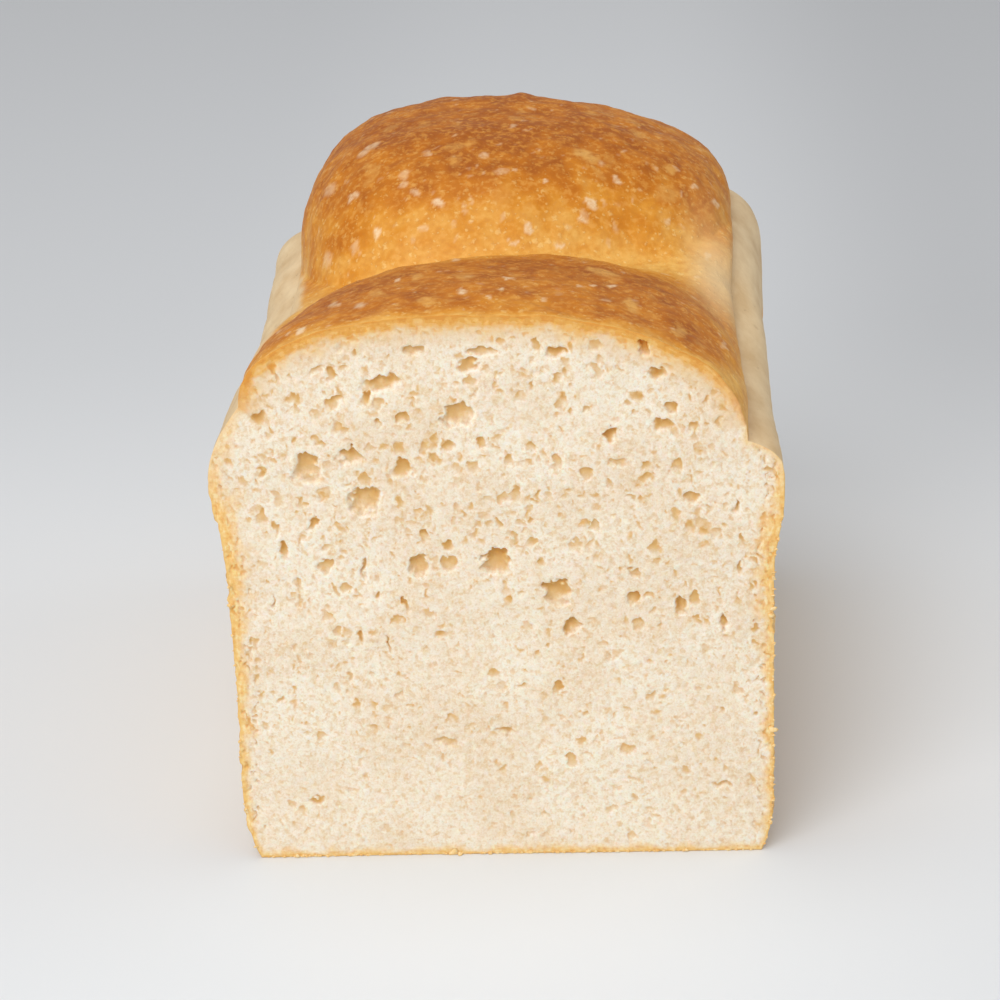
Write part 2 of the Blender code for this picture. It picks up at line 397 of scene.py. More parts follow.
FLANK_LEFT = -45.8          # the crown's borders are as pale as the shoulders from here on
FLANK_LEFT_FADE = 2.4
FLANK_LEFT_REACH = 30.0
FLANK_LEFT_NARROWS = 5.0
FLANK_RAGGED = [(0.4, 7.0, 15)]
FLANK_RIGHT = 38.5
FLANK_RIGHT_FADE = 11.0
FLANK_RIGHT_REACH = 16.0
FLANK_RIGHT_CENTRE = 67.0
FLANK_RIGHT_MOST = 0.85

SIDE_RELIEF_FADE = 0.35     # the side's relief fades out over the last levels before the crease
SHOULDER_START = 0.93       # the level where the shoulder's relief starts
SHOULDER_FADE = 0.12
WALL_WAVES = [(0.05, 6.0, 21), (0.03, 2.4, 22)]
SHREDS = [(0.05, 0.4, 7.0, 23), (0.02, 0.5, 2.6, 24)]      # height, share of z, length, seed
FLAKE_WAVES = [(0.16, 3.1, 25), (0.09, 1.7, 27)]
FLAKE_SINK = 0.05
FLAKY_REACH = 6.0           # the side crust is flaky this far behind the cut
FLAKY_FROM = 1.0            # and from this height
LOW_FADE = 5.0
SHOULDER_FLAKES = 0.7       # this share fewer on the shoulder

# Pale flecks of the crown, where flour baked on: x, y, half length, half width, turn, strength
FLECKS = [
    (-31, 96, 3.5, 1.6, 49, 0.60), (-40, 90, 3.0, 1.1, 109, 0.45), (-34, 80, 2.0, 0.9, 136, 0.70),
    (-17, 86, 1.8, 1.1, 125, 0.55), (-4, 84, 1.3, 0.9, 92, 0.60), (3, 79, 0.8, 0.7, 86, 0.75),
    (0, 78, 2.0, 1.0, 8, 0.45), (-22, 79, 2.0, 1.2, 109, 0.45), (-22, 76, 1.3, 0.9, 137, 0.60),
    (-19, 73, 1.4, 0.7, 135, 0.60), (-14, 70, 1.5, 1.0, 167, 0.95), (-8, 69, 0.7, 0.6, 173, 0.70),
    (-28, 68, 1.3, 0.9, 129, 1.00), (-17, 65, 1.2, 0.6, 151, 0.60), (-40, 73, 2.0, 0.8, 115, 0.50),
    (-33, 68, 1.4, 0.8, 132, 0.45), (3, 63, 1.2, 0.6, 12, 0.95), (2, 100, 1.6, 0.8, 90, 0.50),
    (26, 83, 1.3, 0.9, 150, 0.85), (43, 92, 1.4, 0.7, 63, 0.60), (48, 93, 1.7, 0.7, 71, 0.70),
    (10, 77, 0.9, 0.7, 55, 0.95), (20, 75, 1.4, 0.8, 150, 1.00), (18, 71, 0.9, 0.6, 30, 0.85),
    (6, 66, 0.9, 0.8, 26, 1.00), (13, 65, 1.3, 0.8, 33, 1.00), (37, 79, 1.3, 0.6, 44, 0.60),
    (46, 75, 1.7, 0.7, 84, 0.60), (25, 26, 1.7, 0.9, 74, 0.95), (-39, 5, 2.4, 1.1, 103, 0.95),
    (-9, 45, 4.0, 0.9, 96, 0.60), (-6, 13, 2.3, 0.9, 96, 0.90), (3, 23, 1.9, 0.9, 92, 0.90),
    (2, 14, 1.5, 0.6, 92, 0.80), (-20, 25, 1.8, 0.5, 96, 0.80), (-27, 11, 2.3, 1.3, 103, 0.60),
    (-33, 17, 3.2, 0.9, 113, 0.55), (0, 9, 1.5, 0.5, 92, 0.70), (-45, 15, 3.0, 0.5, 102, 0.50),
    (-42, 7, 1.7, 0.5, 103, 0.60), (18, 21, 1.4, 0.6, 85, 0.75), (21, 23, 1.4, 0.5, 88, 0.75),
    (48, 19, 2.5, 0.7, 84, 0.50), (11, 10, 1.5, 0.6, 89, 0.55),
]
# Golden patches of the crown: the same values
PATCHES = [
    (-30, 86, 3.5, 1.7, 115, 0.55), (19, 89, 3.5, 2.2, 148, 0.95), (31, 107, 3.2, 1.5, 74, 0.60),
    (38, 94, 1.8, 1.3, 80, 0.70), (37, 85, 3.6, 2.0, 43, 0.55), (23, 36, 4.2, 2.6, 146, 0.85),
    (29, 16, 4.6, 1.5, 97, 0.95), (-13, 8, 2.7, 1.8, 106, 0.75), (-10, 88, 4.0, 1.6, 20, 0.45),
    (-16, 26, 2.8, 1.3, 82, 0.75), (-46, 60, 2.6, 1.4, 95, 0.45), (-24, 17, 3.5, 1.5, 101, 0.60),
    (-6, 24, 3.6, 1.9, 96, 0.60), (39, 10, 4.0, 1.2, 75, 0.70),
]
# Random ones, smaller and fainter: how many, middle half width, spread, weakest, strongest
RANDOM_FLECKS = (330, 0.40, 0.30, 0.12, 0.50)
RANDOM_PATCHES = (170, 0.95, 0.40, 0.12, 0.45)
FLECK_HALF_WIDTH = 53.0     # they are strewn over this half width and length
FLECK_LENGTH = 150.0
FLECK_STRAY = 0.22          # how far the outlines stray, and over what length
FLECK_WAVE = 2.6
FLECK_EDGE = 1.4            # where a fleck has faded out, in squared half sizes
FLECK_FADE = 1.15


def displaced(points, faces, amount):
    """Points moved along the normals, except at the cut, where they keep to the knife's path."""
    moved = points + vertex_normals(points, faces) * amount[:, None]
    behind = points[:, 1]
    moved[:, 1] = points[:, 1] + (moved[:, 1] - points[:, 1]) * smooth_step(behind / CUT_REACH)
    knife = knife_waves(moved[:, 0], moved[:, 2])
    moved[:, 1] += knife * (1.0 - smooth_step(behind / CUT_REACH))
    return moved


def random_flecks(rng, count, middle_size, spread, weakest, strongest):
    flecks = []
    for _ in range(count):
        size = middle_size * rng.lognormal(0.0, spread)
        place = (rng.uniform(-FLECK_HALF_WIDTH, FLECK_HALF_WIDTH), rng.uniform(0.0, FLECK_LENGTH))
        flecks.append((*place, size * rng.uniform(1.0, 1.9), size, rng.uniform(50.0, 130.0),
                       rng.uniform(weakest, strongest)))
    return flecks


def fleck_field(points, flecks):
    """How much of the flecks' colour shows at each point, 0 to 1; their outlines are ragged."""
    x = points[:, 0] + FLECK_STRAY * waves(points, FLECK_WAVE, 13)
    y = points[:, 1] + FLECK_STRAY * waves(points, FLECK_WAVE, 14)
    field = np.zeros(len(points))
    for fleck_x, fleck_y, length, width, turn, value in flecks:
        reach = 1.5 * length
        near = np.nonzero((np.abs(x - fleck_x) < reach) & (np.abs(y - fleck_y) < reach))
        dx, dy = x[near] - fleck_x, y[near] - fleck_y
        c, s = math.cos(math.radians(turn)), math.sin(math.radians(turn))
        outward = ((dx * c + dy * s) / length) ** 2 + ((dy * c - dx * s) / width) ** 2
        shown = value * smooth_step((FLECK_EDGE - outward) / FLECK_FADE)
        field[near] = np.maximum(field[near], shown)
    return field


def crown_bake(across, x, y, rise):
    """How dark the crown was baked, 0 in the valley and low on its sides to 1 on its crests."""
    along_valley = skewed(across, y)
    over_back = smooth_step((along_valley - VALLEY + HUMP_CHANGE) / (2.0 * HUMP_CHANGE))
    crest = blend(FRONT_HUMP[0], BACK_HUMP[0], over_back)
    relative = np.clip(rise / (crest - crease_height(across, along_valley)), 0.0, 1.0)
    valley = np.exp(-((along_valley - VALLEY) / VALLEY_REACH) ** 2)
    bake = relative ** BAKE_POWER * (1.0 - VALLEY_PALER * valley) * blend(FRONT_BAKE, 1.0, over_back)
    front = 1.0 - smooth_step((y - FRONT_END) / FRONT_FADE)
    browner = smooth_step((x - FRONT_RIGHT_START) / FRONT_RIGHT_FADE)
    bake += FRONT_RIGHT_BAKE * browner * front * relative
    bake -= RIGHT_END_PALER * smooth_step((x - RIGHT_END_START) / RIGHT_END_FADE) * front
    paler = smooth_step((x - FRONT_PALER_START) / FRONT_PALER_FADE)
    bake -= FRONT_PALER * np.exp(-y / FRONT_PALER_REACH) * paler
    bake -= CUT_PALER * np.exp(-y / CUT_PALER_REACH)
    return np.clip(bake, 0.0, 1.0)


def pale_flank(points):
    """How pale the crown is along its borders, next to the valley, 0 to 1."""
    x, y = points[:, 0], points[:, 1]
    near_left = np.exp(-((y - VALLEY) / FLANK_LEFT_REACH) ** 2)
    near_right = np.exp(-((y - FLANK_RIGHT_CENTRE) / FLANK_RIGHT_REACH) ** 2)
    start = with_waves(FLANK_LEFT - FLANK_LEFT_NARROWS * (1.0 - near_left), points, FLANK_RAGGED)
    left = smooth_step((start - x) / FLANK_LEFT_FADE)
    right = FLANK_RIGHT_MOST * near_right * smooth_step((x - FLANK_RIGHT) / FLANK_RIGHT_FADE)
    return np.maximum(left, right)


def small_peak(x, y):
    peak_x, peak_y, reach_x, reach_y, height = PEAK
    return height * np.exp(-((x - peak_x) / reach_x) ** 2 - ((y - peak_y) / reach_y) ** 2)


def make_crown(material, shift):
    """Makes the crown's crust and gives back its points at the cut, from right to left."""
    across = crowded(CROWN_ACROSS)[None, :]
    cut = cut_along(crown_point, across)
    along = cut + (1.0 - cut) * steps_along(CROWN_ALONG)[:, None]
    across = np.broadcast_to(across, along.shape)
    x, y, z, rise = (values.ravel() for values in crown_point(across, along))
    flank = pale_flank(np.stack([x, y, z], axis=1))
    x = x + waist(x, y, z)
    points = np.stack([x, y, z], axis=1)
    rows, columns = along.shape
    index = np.arange(rows * columns).reshape(rows, columns)
    faces = grid_faces(rows, columns)

    rng = np.random.default_rng(SEED + 1)
    flecks = fleck_field(points, FLECKS + random_flecks(rng, *RANDOM_FLECKS))
    patches = fleck_field(points, PATCHES + random_flecks(rng, *RANDOM_PATCHES))
    relief = with_waves(unevenness(x, y, z), points, CROWN_WAVES)
    relief += FLECK_RELIEF * flecks + small_peak(x, y)
    points = displaced(points, faces, relief * smooth_step(rise / RELIEF_FADE))
    bake = crown_bake(across.ravel(), x, y, rise)

    border = np.concatenate([index[:, 0], index[-1, 1:-1], index[::-1, -1]])
    middle = np.array([0.0, MIDDLE, 0.0])
    inward = (middle - points[border]) * [1.0, 1.0, 0.0]
    inward /= np.linalg.norm(inward, axis=1)[:, None]
    tucked = points[border] + TUCK_IN * inward - [0.0, 0.0, TUCK_DOWN]
    tucked[[0, -1], 1] = points[border[[0, -1]], 1]
    ring = len(points) + np.arange(len(border))
    skirt = np.stack([border[:-1], border[1:], ring[1:], ring[:-1]], axis=1)
    mesh = make_mesh("crown_crust", np.vstack([points, tucked]), np.vstack([faces, skirt]))
    fields = {"bake": bake, "fleck": flecks, "patch": patches, "flank": flank}
    for name, values in fields.items():
        set_attribute(mesh, name, np.concatenate([values, values[border]]))
    add_piece("crown_crust", mesh, material, shift)
    return points[index[0, ::-1]]


def side_relief(points, level):
    """Small relief of the side crust: pores against the tin, and the shreds of the shoulder."""
    z = points[:, 2]
    shoulder = smooth_step((level - SHOULDER_START) / SHOULDER_FADE)
    porous = with_waves(0.0, points, WALL_WAVES)
    shreds = sum(height * waves(points * [1.0, 1.0, share], length, seed)
                 for height, share, length, seed in SHREDS)
    torn = np.clip(waves(points, 11.0, 26) + 0.3, 0.1, 1.6)
    flaky = 1.0 - smooth_step(points[:, 1] / FLAKY_REACH)
    flaky *= smooth_step((z - FLAKY_FROM) / LOW_FADE)
    flakes = (with_waves(0.0, points, FLAKE_WAVES) - FLAKE_SINK) * flaky * torn
    fade = smooth_step(z / LOW_FADE) * smooth_step((2.0 - level) / SIDE_RELIEF_FADE)
    return (blend(porous, shreds, shoulder) + flakes * (1.0 - SHOULDER_FLAKES * shoulder)) * fade


def make_sides(material, shift):
    """Makes walls, shoulders, back and base, and gives back their points at the cut."""
    wall_levels = np.arange(WALL_RINGS) / WALL_RINGS
    shoulder_levels = 1.0 + np.arange(SHOULDER_RINGS + 1) / SHOULDER_RINGS
    level = np.concatenate([wall_levels, shoulder_levels])[:, None]
    steps = steps_along(CROWN_ALONG)[::2]
    across = crowded(BACK_ACROSS)
    edge = np.ones_like(level)
    left_cut = cut_along(side_point, -edge, level)
    right_cut = cut_along(side_point, edge, level)
    left = left_cut + (1.0 - left_cut) * steps
    right = (right_cut + (1.0 - right_cut) * steps)[:, ::-1]
    back = np.ones((len(level), BACK_ACROSS - 1))
    ring_along = np.hstack([left, back, right])
    ring_across = np.hstack([
        -np.ones_like(left), np.broadcast_to(across[1:-1], back.shape), np.ones_like(right)])
    ring_level = np.broadcast_to(level, ring_along.shape)
    x, y, z = (values.ravel() for values in side_point(ring_across, ring_along, ring_level))
    x = x + waist(x, y, z)
    rings, ring_size = ring_along.shape
    ring_points = np.stack([x, y, z], axis=1)
    faces = grid_faces(rings, ring_size)[:, ::-1]
    index = np.arange(rings * ring_size).reshape(rings, ring_size)

    base_cut = cut_along(lambda a, b: wall_point(a, b, 0.0), across[None, :])
    base_along = base_cut + (1.0 - base_cut) * steps[:, None]
    base_across = np.broadcast_to(across, base_along.shape)
    inner = np.stack(wall_point(base_across, base_along, np.zeros_like(base_along)), axis=-1)
    base_index = np.full(base_along.shape, -1)
    count = len(steps)
    base_index[:, 0] = index[0, :count]
    base_index[-1, 1:-1] = index[0, count:count + BACK_ACROSS - 1]
    base_index[:, -1] = index[0, ::-1][:count]
    free = base_index < 0
    base_index[free] = len(ring_points) + np.arange(free.sum())
    points = np.vstack([ring_points, inner[free]])
    corners = [base_index[:-1, :-1], base_index[1:, :-1], base_index[1:, 1:], base_index[:-1, 1:]]
    base_faces = np.stack([corner.ravel() for corner in corners], axis=1)
    faces = np.vstack([faces, base_faces])

    level = np.concatenate([ring_level.ravel(), np.zeros(free.sum())])
    fade = smooth_step((2.0 - level) / SIDE_RELIEF_FADE)
    relief = unevenness(*points.T) * fade + side_relief(points, level)
    points = displaced(points, faces, relief)
    mesh = make_mesh("side_crust", points, faces)
    set_attribute(mesh, "level", level)
    add_piece("side_crust", mesh, material, shift)
    return {
        "base": points[base_index[0]],
        "right": points[index[:, -1]],
        "left": points[index[::-1, 0]],
    }


# ---- the crumb ----

EDGE_REACH = 9.0            # the crumb's looks change within this distance of the crust
SLAB_DEPTH = 12.0           # the crumb goes on behind the cut
SLAB_SHRINK = 0.97
FLAT_MARGIN = 0.6           # the relief starts this far inside the outline
CROWN_BAND = 5.2            # the golden band under the crown, until it has faded out
CROWN_BAND_END = 1.5        # where the crown meets the shoulders
BASE_BAND = 2.6
BASE_TOP = 0.5              # the outline is the base's up to this height
NARROWEST_BAND = 0.5
# The golden band at the sides: heights, and its widths there
BAND_LEFT = ([0, 20, 55, 72, 92, 106], [1.8, 3.2, 4.4, 6.8, 6.2, 3.4])
BAND_RIGHT = ([0, 20, 55, 72, 90, 97], [1.8, 3.0, 4.0, 6.6, 4.4, 1.8])
BAND_STRENGTH = ([0, 84, 94, 106], [1.0, 1.0, 0.65, 0.55])
BAND_RAGGED = ((0.22, 9.0, 41), (0.10, 2.0, 42))
CROWN_FROM = (104.0, 96.0)  # the height where the crown's band starts, left and right
CROWN_GROWS = (9.0, 20.0)   # and the height over which it gets wide
CROWN_FADE = (1.0, 4.0)     # it takes over from the sides' band from here on, over this height

# The largest pores: x, z, width, height, turn in degrees, depth
PORES = [
    (-39, 93, 5.6, 7, -2, 2), (-30, 95.5, 5.8, 3.4, -2, 1.4), (-22.5, 111.5, 9.5, 3.4, 10, 1.4),
    (-15.5, 118.5, 4.5, 2.2, 3, 1.4), (-27.5, 85, 6.5, 6.4, -2, 2.2), (-45, 74, 1.8, 4.6, 3, 1.2),
    (-36.5, 70, 3.2, 4, -2, 1), (-28.5, 69.5, 1.1, 5.8, -10, 1.4), (-19, 92.5, 4.6, 4.1, -2, 0.9),
    (-2, 118, 6.9, 2, -2, 1.2), (-4.5, 115, 4.5, 3.1, 6, 1.2), (-7, 104, 6.4, 5.3, 18, 1.8),
    (13.5, 117.5, 4.3, 2.8, -2, 1.1), (24.5, 99, 3.3, 2.9, 28, 1.2),
    (-0.5, 70.5, 5.9, 6.3, -2, 2.2), (12, 63, 6.1, 6, -2, 2), (-17, 69.5, 4, 5.8, -2, 2),
    (-10.5, 70, 3.6, 3.5, -2, 0.9), (15, 55.5, 4.2, 3.8, 33, 1.6), (31.5, 118, 2.6, 3.2, -2, 2.4),
    (34, 112.5, 4.3, 2.2, -2, 1.1), (37, 104.5, 3.1, 2.4, -22, 1.1), (35, 101, 4.3, 3.1, 8, 1.1),
    (40.5, 84.5, 3.5, 2.5, -2, 1.2), (50, 82.5, 1.2, 3.4, -2, 1.2), (38, 59.5, 2.3, 4.9, 8, 1.8),
    (47, 55.5, 1.3, 4.2, -2, 1.4), (28, 61.5, 2.5, 4.2, -32, 1.2), (-13, 28, 5.4, 2, -2, 0.9),
    (0, 30.5, 4.5, 1.9, -2, 1), (46.5, 16.5, 4.5, 1.7, -2, 1), (-42, 14, 3.7, 2, -2, 0.9),
    (-26, 108.5, 2.6, 3.4, -32, 0.9), (-18.5, 104, 3.1, 2.5, 0, 0.7),
    (-23.5, 103, 2.6, 2.5, 0, 0.9), (-35.5, 115, 4.1, 1.5, 28, 0.6),
    (-38.5, 80, 2.3, 3.9, -27, 0.9), (-42.5, 66, 1.3, 3.3, 28, 0.9), (-35, 55, 2.7, 1.7, -37, 0.7),
    (-26, 63, 1.3, 2.8, 0, 0.8), (-20, 61, 1.5, 3.5, 23, 0.8), (21.5, 119, 3.1, 2.4, 0, 0.6),
    (-4.5, 92.5, 3.1, 3.4, 0, 0.4), (13, 93, 2.7, 3.2, 0, 0.6), (19, 90.5, 2.7, 2.5, 0, 0.7),
    (-15.5, 77, 2.3, 3, 0, 0.7), (-10.5, 74.5, 2.9, 2.5, 23, 0.6), (16.5, 74, 3.1, 2.5, 0, 0.6),
    (20.5, 78.5, 2.7, 2.5, 0, 0.6), (-13, 54, 3, 1.9, 0, 0.7), (28.5, 67.5, 2.6, 2.6, 0, 0.8),
    (41, 61, 2.5, 4, 0, 0.6), (29, 55.5, 2.7, 3.1, 0, 0.6), (26, 25.5, 3.7, 2.4, 0, 0.5),
    (14, 23, 2.4, 3.4, 0, 0.5), (-24, 51.5, 0.9, 4.8, 14, 0.9), (-30, 53.7, 1.5, 3, 8, 0.8),
    (-48, 62, 1, 3.4, -6, 0.9), (-33, 44, 1.6, 2.2, 0, 0.6), (50.5, 68, 1, 3.2, 0, 0.9),
]
NOISE_SPREAD = 0.35         # how uneven the sizes of the sheets' bumps are
# Random pores: how many, middle width, spread, largest, depth as a share of the width
MEDIUM_PORES = (760, 1.68, 0.32, 3.1, 0.16)
SMALL_PORES = (1700, 0.85, 0.25, 1.4, 0.11)
EDGE_PORES = 150            # upright slots in the crust's golden band at the sides
EDGE_PORE_HEIGHTS = (6.0, 96.0)
EDGE_PORE_INWARD = (0.7, 4.2)
EDGE_PORE_WIDTH = 0.62
EDGE_PORE_DEPTH = 0.5
PORE_CLEAR = 1.8            # random pores keep this far inside the outline
LARGE_PORE_BEND = 1.45      # large pores have more uneven outlines than small ones
PORE_DEPTH = 0.72
PORE_SIZES = (0.72, 1.06)   # how large random pores are low down and high up
PORE_STRETCHES = (1.2, 1.0)  # and how wide
PORE_TURN = 22.0            # how far they are turned, in degrees
UPRIGHT_FROM = 30.0         # from here to the sides they stand more upright
UPRIGHT_FADE = 22.0
UPRIGHT_STRETCH = 0.75
PORE_POWERS = (1.9, 3.2)    # from round to square
PORE_TAPERS = (-0.15, 0.45)
# painted shade in the pores: how strong it is, how much fainter at the base, and how much darker in deep
# pores
PAINTED_PORE_SHADES = (0.36, 0.86)   # from faint to dark
LOW_PORE_SHADE = 0.66             # at the base this share of it, and all of it from the height below
LOW_PORE_SHADE_HEIGHT = 50.0
DEEP_PORE_SHADE = 0.35            # deep pores are darker by up to this much
WARP = ((0.26, 3.4), (0.08, 1.2))       # how far the pores' outlines stray, and over what length
GRAIN = ((0.045, 2.6, 35), (0.012, 1.1, 36))
RING_GAP = 0.35             # the grid keeps this share of a cell inside the outline
MERGE = 1e-5


def noise_sheet(shape, wavelength, seed):
    """A flat sheet of smooth random bumps about one size, with a standard deviation of 1."""
    rng = np.random.default_rng(seed)
    spectrum = np.fft.rfft2(rng.normal(size=shape))
    frequency = np.hypot(*np.meshgrid(
        np.fft.fftfreq(shape[0], CRUMB_CELL), np.fft.rfftfreq(shape[1], CRUMB_CELL), indexing="ij"))
    frequency[0, 0] = 1e-9
    band = np.exp(-0.5 * (np.log(frequency * wavelength) / NOISE_SPREAD) ** 2)
    band[0, 0] = 0.0
    sheet = np.fft.irfft2(spectrum * band, s=shape)
    return sheet / sheet.std()


def noise_sheets(shape, sheets):
    """Their sum; each sheet is a height, a wavelength and a seed."""
    return sum(height * noise_sheet(shape, wavelength, seed) for height, wavelength, seed in sheets)


def inside_polygon(x, z, outline):
    """Which places lie inside the outline: an odd number of its sides is to their left."""
    inside = np.zeros(len(x), bool)
    for (x0, z0), (x1, z1) in zip(outline, np.roll(outline, -1, axis=0)):
        level = np.nonzero((z >= min(z0, z1)) & (z < max(z0, z1)))[0]
        if len(level) > 0:
            inside[level] ^= x[level] > x0 + (x1 - x0) * (z[level] - z0) / (z1 - z0)
    return inside


class CrumbSheet:
    """Fields over the cut face on a fine square grid, looked up by place."""

    def __init__(self, outline):
        self.outline = outline
        cell = CRUMB_CELL
        low = np.floor(outline.min(axis=0) / cell - 2.0) * cell
        high = outline.max(axis=0) + 3.0 * cell
        self.low = low
        self.x, self.z = np.meshgrid(np.arange(low[0], high[0], cell), np.arange(low[1], high[1], cell))
        self.inside = inside_polygon(self.x.ravel(), self.z.ravel(), outline).reshape(self.x.shape)
        self.distance, self.nearest = self.outline_distance()

    def outline_distance(self):
        """The distance to the outline, up to EDGE_REACH, and the outline point that is nearest."""
        distance = np.full(self.x.shape, EDGE_REACH)
        nearest = np.zeros(self.x.shape, int)
        following = np.roll(self.outline, -1, axis=0)
        for number, (start, end) in enumerate(zip(self.outline, following)):
            low = np.minimum(start, end) - EDGE_REACH
            window = self.window(low, np.maximum(start, end) + EDGE_REACH)
            x, z = self.x[window], self.z[window]
            edge = end - start
            length = max(edge @ edge, NEARLY_ZERO)
            t = np.clip(((x - start[0]) * edge[0] + (z - start[1]) * edge[1]) / length, 0.0, 1.0)
            away = np.hypot(x - start[0] - t * edge[0], z - start[1] - t * edge[1])
            closer = away < distance[window]
            distance[window] = np.where(closer, away, distance[window])
            nearest[window] = np.where(closer, number, nearest[window])
        return distance, nearest

    def window(self, low, high):
        """The slices of the grid that cover a box."""
        first = np.maximum(((low - self.low) / CRUMB_CELL).astype(int), 0)
        last = np.maximum(((high - self.low) / CRUMB_CELL).astype(int) + 2, 0)
        return slice(first[1], last[1]), slice(first[0], last[0])

    def look_up(self, field, x, z):
        """A field's values at any places, between the grid's points."""
        rows, columns = self.x.shape
        column = np.clip((x - self.low[0]) / CRUMB_CELL, 0, columns - 1.001)
        row = np.clip((z - self.low[1]) / CRUMB_CELL, 0, rows - 1.001)
        c, r = column.astype(int), row.astype(int)
        u, v = column - c, row - r
        lower = field[r, c] * (1.0 - u) + field[r, c + 1] * u
        upper = field[r + 1, c] * (1.0 - u) + field[r + 1, c + 1] * u
        return lower * (1.0 - v) + upper * v


def random_pores(rng, sheet, count, middle_size, spread, largest, depth_share):
    """Pores strewn at random: smaller and flatter low down, upright at the sides."""
    pores = []
    low, high = sheet.outline.min(axis=0), sheet.outline.max(axis=0)
    room = sheet.distance * sheet.inside
    while len(pores) < count:
        x, z = rng.uniform(low, high)
        size = min(middle_size * rng.lognormal(0.0, spread), largest)
        size *= blend(*PORE_SIZES, smooth_step((z / high[1] - 0.2) / 0.5))
        stretch = rng.lognormal(0.0, 0.2)
        stretch *= blend(*PORE_STRETCHES, smooth_step((z / high[1] - 0.1) / 0.3))
        side = smooth_step((abs(x) - UPRIGHT_FROM) / UPRIGHT_FADE)
        stretch *= blend(1.0, UPRIGHT_STRETCH, side * rng.uniform(0.3, 1.0))
        depth = size * depth_share * rng.uniform(0.5, 1.5)
        turn = rng.normal(0.0, PORE_TURN)
        clear = sheet.look_up(room, np.array([x]), np.array([z]))[0]
        apart = min(math.hypot(x - pore_x, z - pore_z) - 0.25 * (width + height)
                    for pore_x, pore_z, width, height, _, _ in PORES)
        if clear > PORE_CLEAR + 0.5 * size and apart > 0.5 * size:
            pores.append((x, z, size * stretch, size / stretch, turn, depth))
    return pores


def edge_pores(rng, outline):
    """Small slots within the side crust, upright like its layers."""
    low, high = EDGE_PORE_HEIGHTS
    x, z = outline.T
    sides = outline[(np.abs(x) > WALL_HALF_WIDTH - 5.0) & (z > low) & (z < high)]
    pores = []
    for _ in range(EDGE_PORES):
        x, z = sides[rng.integers(len(sides))]
        inward = rng.uniform(*EDGE_PORE_INWARD) * (1.0 if x < 0.0 else -1.0)
        width = EDGE_PORE_WIDTH * rng.lognormal(0.0, 0.25)
        height = width * rng.uniform(1.4, 3.2)
        pores.append((x + inward, z, width, height, rng.normal(0.0, 9.0), EDGE_PORE_DEPTH))
    return pores


def stamp_pore(sheet, hollow, painted_pore_shade, warp_x, warp_z, pore, rng):
    """Hollows out one pore: its upper side is steep and its floor runs out gently. Paints shade into it
    too, darkest under its upper edge.
    """
    x, z, width, height, turn, depth = pore
    power = rng.uniform(*PORE_POWERS)
    taper = rng.uniform(*PORE_TAPERS)
    reach = 0.6 * max(width, height) + 1.5
    window = sheet.window(np.array([x, z]) - reach, np.array([x, z]) + reach)
    bent = blend(1.0, LARGE_PORE_BEND, smooth_step((min(width, height) - 2.0) / 3.0))
    dx = sheet.x[window] - x + bent * warp_x[window]
    dz = sheet.z[window] - z + bent * warp_z[window]
    c, s = math.cos(math.radians(turn)), math.sin(math.radians(turn))
    up = (dz * c - dx * s) / (0.5 * height)
    across = (dx * c + dz * s) / (0.5 * width) * (1.0 + taper * np.clip(up, -1.0, 1.0))
    within = np.maximum(1.0 - np.abs(across) ** power - np.abs(up) ** power, 0.0)
    rising = 0.5 + 0.5 * np.clip(up, -1.0, 1.0)
    steepest = blend(0.60, 0.34, smooth_step((min(width, height) - 1.0) / 2.0))
    form = within ** blend(0.85, steepest, rising)
    hollow[window] = np.sqrt(hollow[window] ** 2 + (PORE_DEPTH * depth * form) ** 2)
    # painted shade in the pore: darkest under its upper edge, soft towards its floor
    large = smooth_step((min(width, height) - 0.7) / 1.8)
    strength = rng.uniform(*PAINTED_PORE_SHADES) * blend(LOW_PORE_SHADE, 1.0, smooth_step(z / LOW_PORE_SHADE_HEIGHT))
    strength += DEEP_PORE_SHADE * smooth_step(depth / 1.2)
    soft = blend(blend(1.3, 0.95, large), blend(0.9, 0.30, large), rising)
    shade = smooth_step(within / soft) * blend(0.15, 1.0, rising ** 0.8)
    painted_pore_shade[window] = np.maximum(painted_pore_shade[window], strength * shade)


def crumb_relief(sheet):
    """How deep the torn crumb lies behind the cut, and the shade painted into the pores."""
    rng = np.random.default_rng(SEED)
    shape = sheet.x.shape
    warp_x = noise_sheets(shape, [(*WARP[0], 31), (*WARP[1], 32)])
    warp_z = noise_sheets(shape, [(*WARP[0], 33), (*WARP[1], 34)])
    hollow = np.zeros(shape)
    painted_pore_shade = np.zeros(shape)
    pores = PORES + random_pores(rng, sheet, *MEDIUM_PORES)
    pores += random_pores(rng, sheet, *SMALL_PORES) + edge_pores(rng, sheet.outline)
    for pore in pores:
        stamp_pore(sheet, hollow, painted_pore_shade, warp_x, warp_z, pore, rng)
    relief = (hollow + noise_sheets(shape, GRAIN)) * smooth_step(sheet.distance / FLAT_MARGIN)
    return relief, painted_pore_shade


